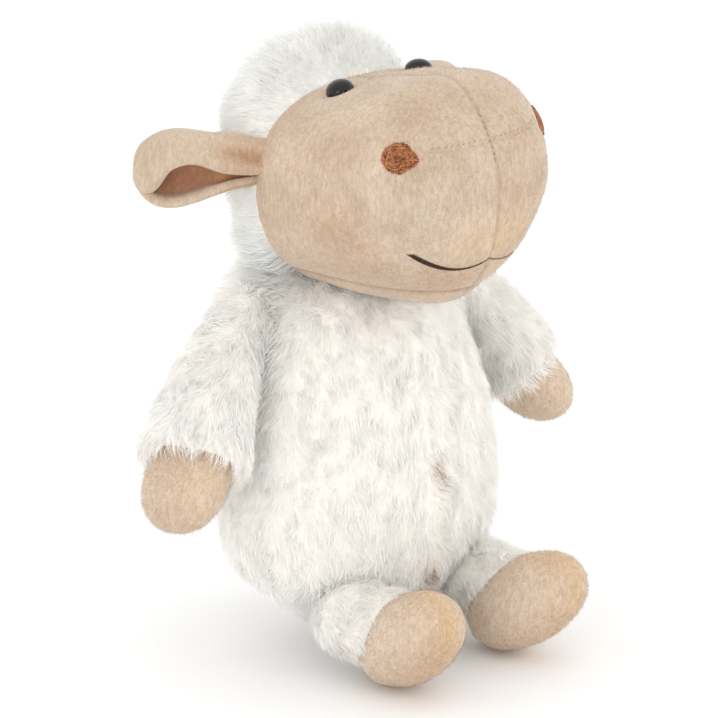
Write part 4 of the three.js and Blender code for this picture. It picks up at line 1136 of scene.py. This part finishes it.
ear_points, ear_faces, ear_along, ear_turn = ear_form()
ear_skin = Skin(ear_points, facing_out(ear_points - EAR_PLACE, ear_faces))
in_hollow = np.arange(len(ear_points)) >= len(ear_points) // 2
# Painted shade: where the ear's hollow and the valleys of its pleats are darkened
hollow_shade = ease(0.03, 0.16, ear_turn) * ease(0.88, 0.7, ear_turn) * in_hollow
hollow_shade = hollow_shade * ease(1.0, 0.9, ear_along)
pleat_valley_shade = np.where(in_hollow, -1, 1) * np.cos(ear_turn * np.pi * EAR_PLEATS)
# Ruddier towards the base; painted shade as a ruddy darkening in the pleat valleys, a reddish-brown one deep
# in the hollow and a ruddy one on the inner side under the lip
ear_washes = [
    (RUDDY, ease(0.25, -0.05, ear_along) * 0.4),
    (RUDDY, np.clip(pleat_valley_shade, 0, 1) * ease(0.34, 0.05, ear_along) * 0.8),
    (HOLLOW_SHADE, hollow_shade),
    (RUDDY, hill(ear_turn, 0.75, 0.22) * in_hollow * 0.4),
]
for side, sign in SIDES:
    padded_piece(f"ear_pad_{side}", ear_skin.on_side(sign), f"ear_{side}", TAN, 0.4,
                 f"ear_back_{side}", f"ear_lining_{side}", washes=ear_washes)


# Eyes, nostrils, mouth and seams


def head_spot(shares, sign):
    """A point on one side of the head's form and the way it faces."""
    flip = np.array([sign, 1, 1])
    return head_point(*shares) * flip, facing(head_point, *shares, 0.004) * flip


def on_face(p):
    """The nearest point of the face's skin, and the way it faces."""
    near, normal, _, _ = face_skin.tree.find_nearest(Vector(p))
    return np.array(near), np.array(normal)


def face_front(x, z):
    """The face's skin in front of a place, met from ahead."""
    hit, normal, _, _ = face_skin.tree.ray_cast(Vector((x, 2 * NOSE_Y, z)), Vector((0, 1, 0)))
    return np.array(hit), np.array(normal)


def sewn_on(name, form, materials, slot, *nodes):
    obj = new_shape(name, *form, materials=materials)
    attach(obj, "head")
    if nodes:
        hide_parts(*nodes)


def eye_dome(sign):
    centre, axis = head_spot(EYE_SHARES, sign)
    side = unit(np.cross(axis, [0, 0, 1]))
    angle = np.append(np.linspace(-0.5, math.pi / 2, 22)[:-1], 1.55)
    centres = centre + axis * (EYE_RISE * np.sin(angle) - EYE_SUNK)[:, None]
    reach = (EYE_RADIUS * np.cos(angle))[:, None]
    points, faces = ring_mesh(oval_rings(centres, side * reach, np.cross(side, axis) * reach, 48))
    return points, facing_out(points - centre, faces)


for side, sign in SIDES:
    sewn_on(f"eye_dome_{side}", eye_dome(sign), [EYE_BLACK], "glossy_black",
            f"eye_{side}", f"eye_washer_{side}")


def nostril_threads(sign):
    """Short threads that swirl over an oval patch and run out to a point at the dart's end."""
    place, axis = head_spot(NOSTRIL_SHARES, sign)
    to_dart = unit(np.cross(axis, [0, 0, 1])) * sign
    up = np.cross(to_dart, axis) * sign

    def at(u, v, lift):
        spot, normal = on_face(place + to_dart * u + up * v)
        return spot + normal * lift

    threads = []
    for index in range(NOSTRIL_THREADS):
        share = math.sqrt((index + 0.5) / NOSTRIL_THREADS)
        angle = index * GOLDEN_ANGLE
        reach = (NOSTRIL_REACH - 0.7) * share
        long = rng.uniform(2.6, 4.6)
        swirl = angle + math.pi / 2 + rng.normal(0, 0.4) + 0.5 * (1 - share)
        lift = 0.35 + 0.75 * (1 - share ** 2) + rng.normal(0, 0.1)
        path = []
        for t in np.linspace(-0.5, 0.5, 6):
            u = reach * math.cos(angle) + t * long * math.cos(swirl + t * 0.9)
            v = reach * math.sin(angle) + t * long * math.sin(swirl + t * 0.9)
            over = max(math.hypot(u, v) / NOSTRIL_REACH, 1)
            path.append(at(u / over * 1.04, v / over * 0.97, lift - 0.9 * t * t))
        threads.append((path, rng.uniform(0.26, 0.4), rng.choice(4, p=[0.42, 0.26, 0.22, 0.1])))
    start = NOSTRIL_REACH - 2.2
    for index in range(DART_THREADS):
        v = (index - (DART_THREADS - 1) / 2) * 0.75
        path = [at(start + t * 4.2, v * (1 - t) ** 0.6, 0.5 - 0.3 * t) for t in np.linspace(0, 1, 6)]
        threads.append((path, np.linspace(0.36, 0.12, 6), rng.choice(3, p=[0.4, 0.4, 0.2])))
    return thread_tubes(threads, 6)


for side, sign in SIDES:
    sewn_on(f"nostril_thread_{side}", nostril_threads(sign), NOSTRIL_BROWN, "nostril_thread",
            f"nostril_{side}")


def mouth_height(share):
    off = np.abs(share)
    return MOUTH_Z - MOUTH_DIP * np.sin(np.pi * off) + MOUTH_SMILE * off ** 2.5


def mouth_threads():
    """A drawn-in line of satin stitch: full on the sheep's right, a faint crease on its left."""
    threads = []
    for index in range(MOUTH_THREADS):
        share = -1 + 1.5 * index / (MOUTH_THREADS - 1)
        near = np.clip(-share, 0, 1)
        full = 0.5 * ease(1.02, 0.86, near) * ease(-0.15, 0.7, near) + 0.12
        slant = 2.2 * (0.5 if share > 0 else 1)
        path = []
        for t in np.linspace(-0.5, 0.5, 5):
            hit, normal = face_front((share * MOUTH_REACH) + t * slant, mouth_height(share) + t * full * 0.9)
            path.append(hit + normal * (0.15 + full * 0.45 * (1 - 4 * t * t)))
        radius = (0.17 + 0.26 * full) * np.array([0.6, 0.9, 1, 0.9, 0.6])
        # Painted shade: the faint crease on the left and into the middle is drawn in thin lighter brown
        # threads
        crease_shade = rng.random() < ease(0.16, 0.02, near)
        threads.append((path, radius, int(crease_shade)))
    return thread_tubes(threads, 7)


def stitch(start, end, sunk, raised):
    """A short thread over the face's skin from one place to another, each an x and a z."""
    (low, normal), (high, _) = face_front(*start), face_front(*end)
    return [low + normal * sunk, (low + high) / 2 + normal * raised, high], STITCH_RADIUS, 0


sewn_on("mouth_thread", mouth_threads(), MOUTH_BROWN, "mouth_thread", "mouth_stitching")

along_dart = np.arange(3, DART_LENGTH - 3, 2.8)
stitches = [stitch((0.35, z), (-0.35, z + 1.2), 0.05, 0.15)
            for z in np.arange(NOSE_SEAM_Z - 9, NOSE_SEAM_Z + 8, 2.4)]
stitches += [stitch((x, NOSE_SEAM_Z - 0.3), (x + 1.2, NOSE_SEAM_Z + 0.3), 0.02, 0.1)
             for x in (*along_dart, *-along_dart)]
sewn_on("seam_stitches", thread_tubes(stitches, 5), [SEAM_THREAD], "tan_velboa")


# Pile on each white skin and nap on each tan one

tan_skins = [face_skin]
for side, _ in SIDES:
    tan_skins += [limbs[side]["paw"], limbs[side]["foot"]]


def trunk_flow(p):
    spread = np.sign(p[:, 0]) * (0.3 * hill(p[:, 0], 0, 6) + 0.2 * hill(p[:, 0], 0, 30))
    return DOWN + columns(spread * ease(5, -15, p[:, 1]), 0, 0)


def trunk_keep(p):
    kept = p[:, 2] > 1.6
    for side, _ in SIDES:
        kept &= limbs[side]["sleeve"].depth(p) < 1.0
        kept &= limbs[side]["leg"].depth(p) < 1.0
    return kept


def neck_fringe(p):
    """More where the trunk meets the head, at the sides and the back."""
    return ease(128, 150, p[:, 2]) * ease(-22, -2, p[:, 1])


def nape(p):
    """Where the longest pile stands out and closes the fold behind the head."""
    return ease(138, 156, p[:, 2]) * ease(2, 28, p[:, 1])


def belly_parting_shade(p):
    """Where the seam's parting gets painted shade: a brown tone on some of its strands, most of all on the
    belly and between the legs.
    """
    on_front = ease(0, -20, p[:, 1]) * hill(p[:, 0], 4.0, 2.4)
    return on_front * (1.0 * hill(p[:, 2], 84, 7) + 0.9 * hill(p[:, 2], 36, 6) + 0.008)


pile("trunk_pile", "trunk", trunk_skin, PILE_COVERS["trunk"], trunk_flow, SHAGGY, 21.0, trunk_keep,
     avoid=tan_skins, parting=belly_parting_shade,
     longer=lambda p: 1 + 0.8 * neck_fringe(p) + 1.1 * nape(p),
     lifted=lambda p: 1 + 1.8 * neck_fringe(p) + 2.5 * nape(p))


def cap_fringe(p, high, low):
    """More at the cap's lower edge, most of all behind."""
    return (1.1 + 1.1 * ease(0, 25, p[:, 1])) * ease(high, low, p[:, 2])


def crown(p):
    return ease(218, 238, p[:, 2]) * ease(10, 26, p[:, 1])


pile("cap_pile", "head", cap_skin, PILE_COVERS["cap"], lambda p: columns(p[:, 0] * 0.006, 0.9, -0.5),
     SMOOTH, 23.0, lambda p: p[:, 1] > CAP_SEAM_Y - 2.4,
     longer=lambda p: 1 + cap_fringe(p, 194, 174) + 0.55 * crown(p),
     lifted=lambda p: 1 + 1.1 * cap_fringe(p, 190, 172) + 1.15 * crown(p))

for side, sign in SIDES:
    flip = np.array([sign, 1, 1])
    own = limbs[side]

    def cuff(p):
        return ease(SLEEVE_LENGTH - 18, SLEEVE_LENGTH - 6, down_arm(p / flip))

    def root(p):
        return ease(14, 2, down_arm(p / flip)) * ease(146, 156, p[:, 2]) * 0.5

    def cuff_sides(p):
        return cuff(p) * np.clip((p / flip - SHOULDER) @ ARM_FRONT / (ARM_BREADTH / 2), 0, 1)

    pile(f"sleeve_pile_{side}", f"arm_{side}", own["sleeve"], PILE_COVERS["sleeve"],
         lambda p: ARM_OUT * flip + DOWN * 0.3, SHAGGY, 25.0 + sign,
         lambda p: (down_arm(p / flip) < SLEEVE_LENGTH - 1.5) & (trunk_skin.depth(p) < 1.0),
         avoid=[face_skin, own["paw"]],
         longer=lambda p: 1 + 0.1 * cuff(p) + 0.4 * cuff_sides(p) + 0.6 * root(p),
         lifted=lambda p: 1 + 0.4 * cuff(p) + 1.1 * cuff_sides(p) + 1.6 * root(p))
    pile(f"leg_pile_{side}", f"leg_{side}", own["leg"], PILE_COVERS["leg"],
         lambda p: LEG_OUT * flip, SHAGGY, 28.0 + sign,
         lambda p: (own["foot"].depth(p) < 0) & (trunk_skin.depth(p) < 1.0), avoid=[own["foot"]])
    nap(f"paw_nap_{side}", f"arm_{side}", own["paw"], NAP_COVERS["paw"], ARM_OUT * flip,
        lambda p: down_arm(p / flip) > SLEEVE_LENGTH - 4)
    nap(f"foot_nap_{side}", f"leg_{side}", own["foot"], NAP_COVERS["foot"], FOOT_OUT * flip,
        lambda p: (own["leg"].depth(p) < 0) & (p[:, 2] > 2))
pile("tail_pile", "tail", tail_skin, PILE_COVERS["tail"], lambda p: TAIL_OUT, SHAGGY, 31.0,
     lambda p: trunk_skin.depth(p) < 1.0)
nap("face_nap", "head", face_skin, NAP_COVERS["face"], np.array([0, 0.5, -1.0]),
    lambda p: p[:, 1] < CAP_SEAM_Y - 2)


# Camera, light and floor


def look_at(obj, place, target):
    obj.location = place
    obj.rotation_euler = (target - place).to_track_quat("-Z", "Y").to_euler()


camera = new_object("camera", bpy.data.cameras.new("camera"))
camera.data.sensor_width = 36
camera.data.lens = VIEW_DISTANCE / METRES_PER_PIXEL * camera.data.sensor_width / PICTURE_WIDTH
camera.data.clip_end = 50
look_at(camera, VIEW_TARGET + VIEW_DISTANCE * Vector(aimed(VIEW_TURN, VIEW_RISE)), VIEW_TARGET)
bpy.context.scene.camera = camera

# Each light's place and size in metres, and its power
for name, place, size, power in (
        ("left_light", (-1.5, -0.8, 0.4), 0.8, 3),
        ("right_light", (1.2, -1.2, 0.4), 0.8, 3),
        ("glint_light", (-1.7, -0.9, 0.9), 0.1, 1)):
    light = new_object(name, bpy.data.lights.new(name, "AREA"))
    light.data.size = size
    light.data.energy = power
    look_at(light, Vector(place), LIGHT_TARGET)

world = bpy.data.worlds.new("studio")
world.use_nodes = True
wired(world.node_tree.nodes["Background"], {"Color": (1, 1, 1, 1), "Strength": 1.17})
bpy.context.scene.world = world
bpy.context.scene.view_settings.view_transform = "Standard"

floor_material, _, floor_shader = new_material("pale_floor", 0.9)
wired(floor_shader, {"Base Color": (0.95, 0.95, 0.95, 1)})
floor_corners = [(x * FLOOR_REACH, y * FLOOR_REACH, 0) for x, y in ((-1, -1), (1, -1), (1, 1), (-1, 1))]
floor = new_shape("floor", floor_corners, [(0, 1, 2, 3)], materials=[floor_material], smooth=False)
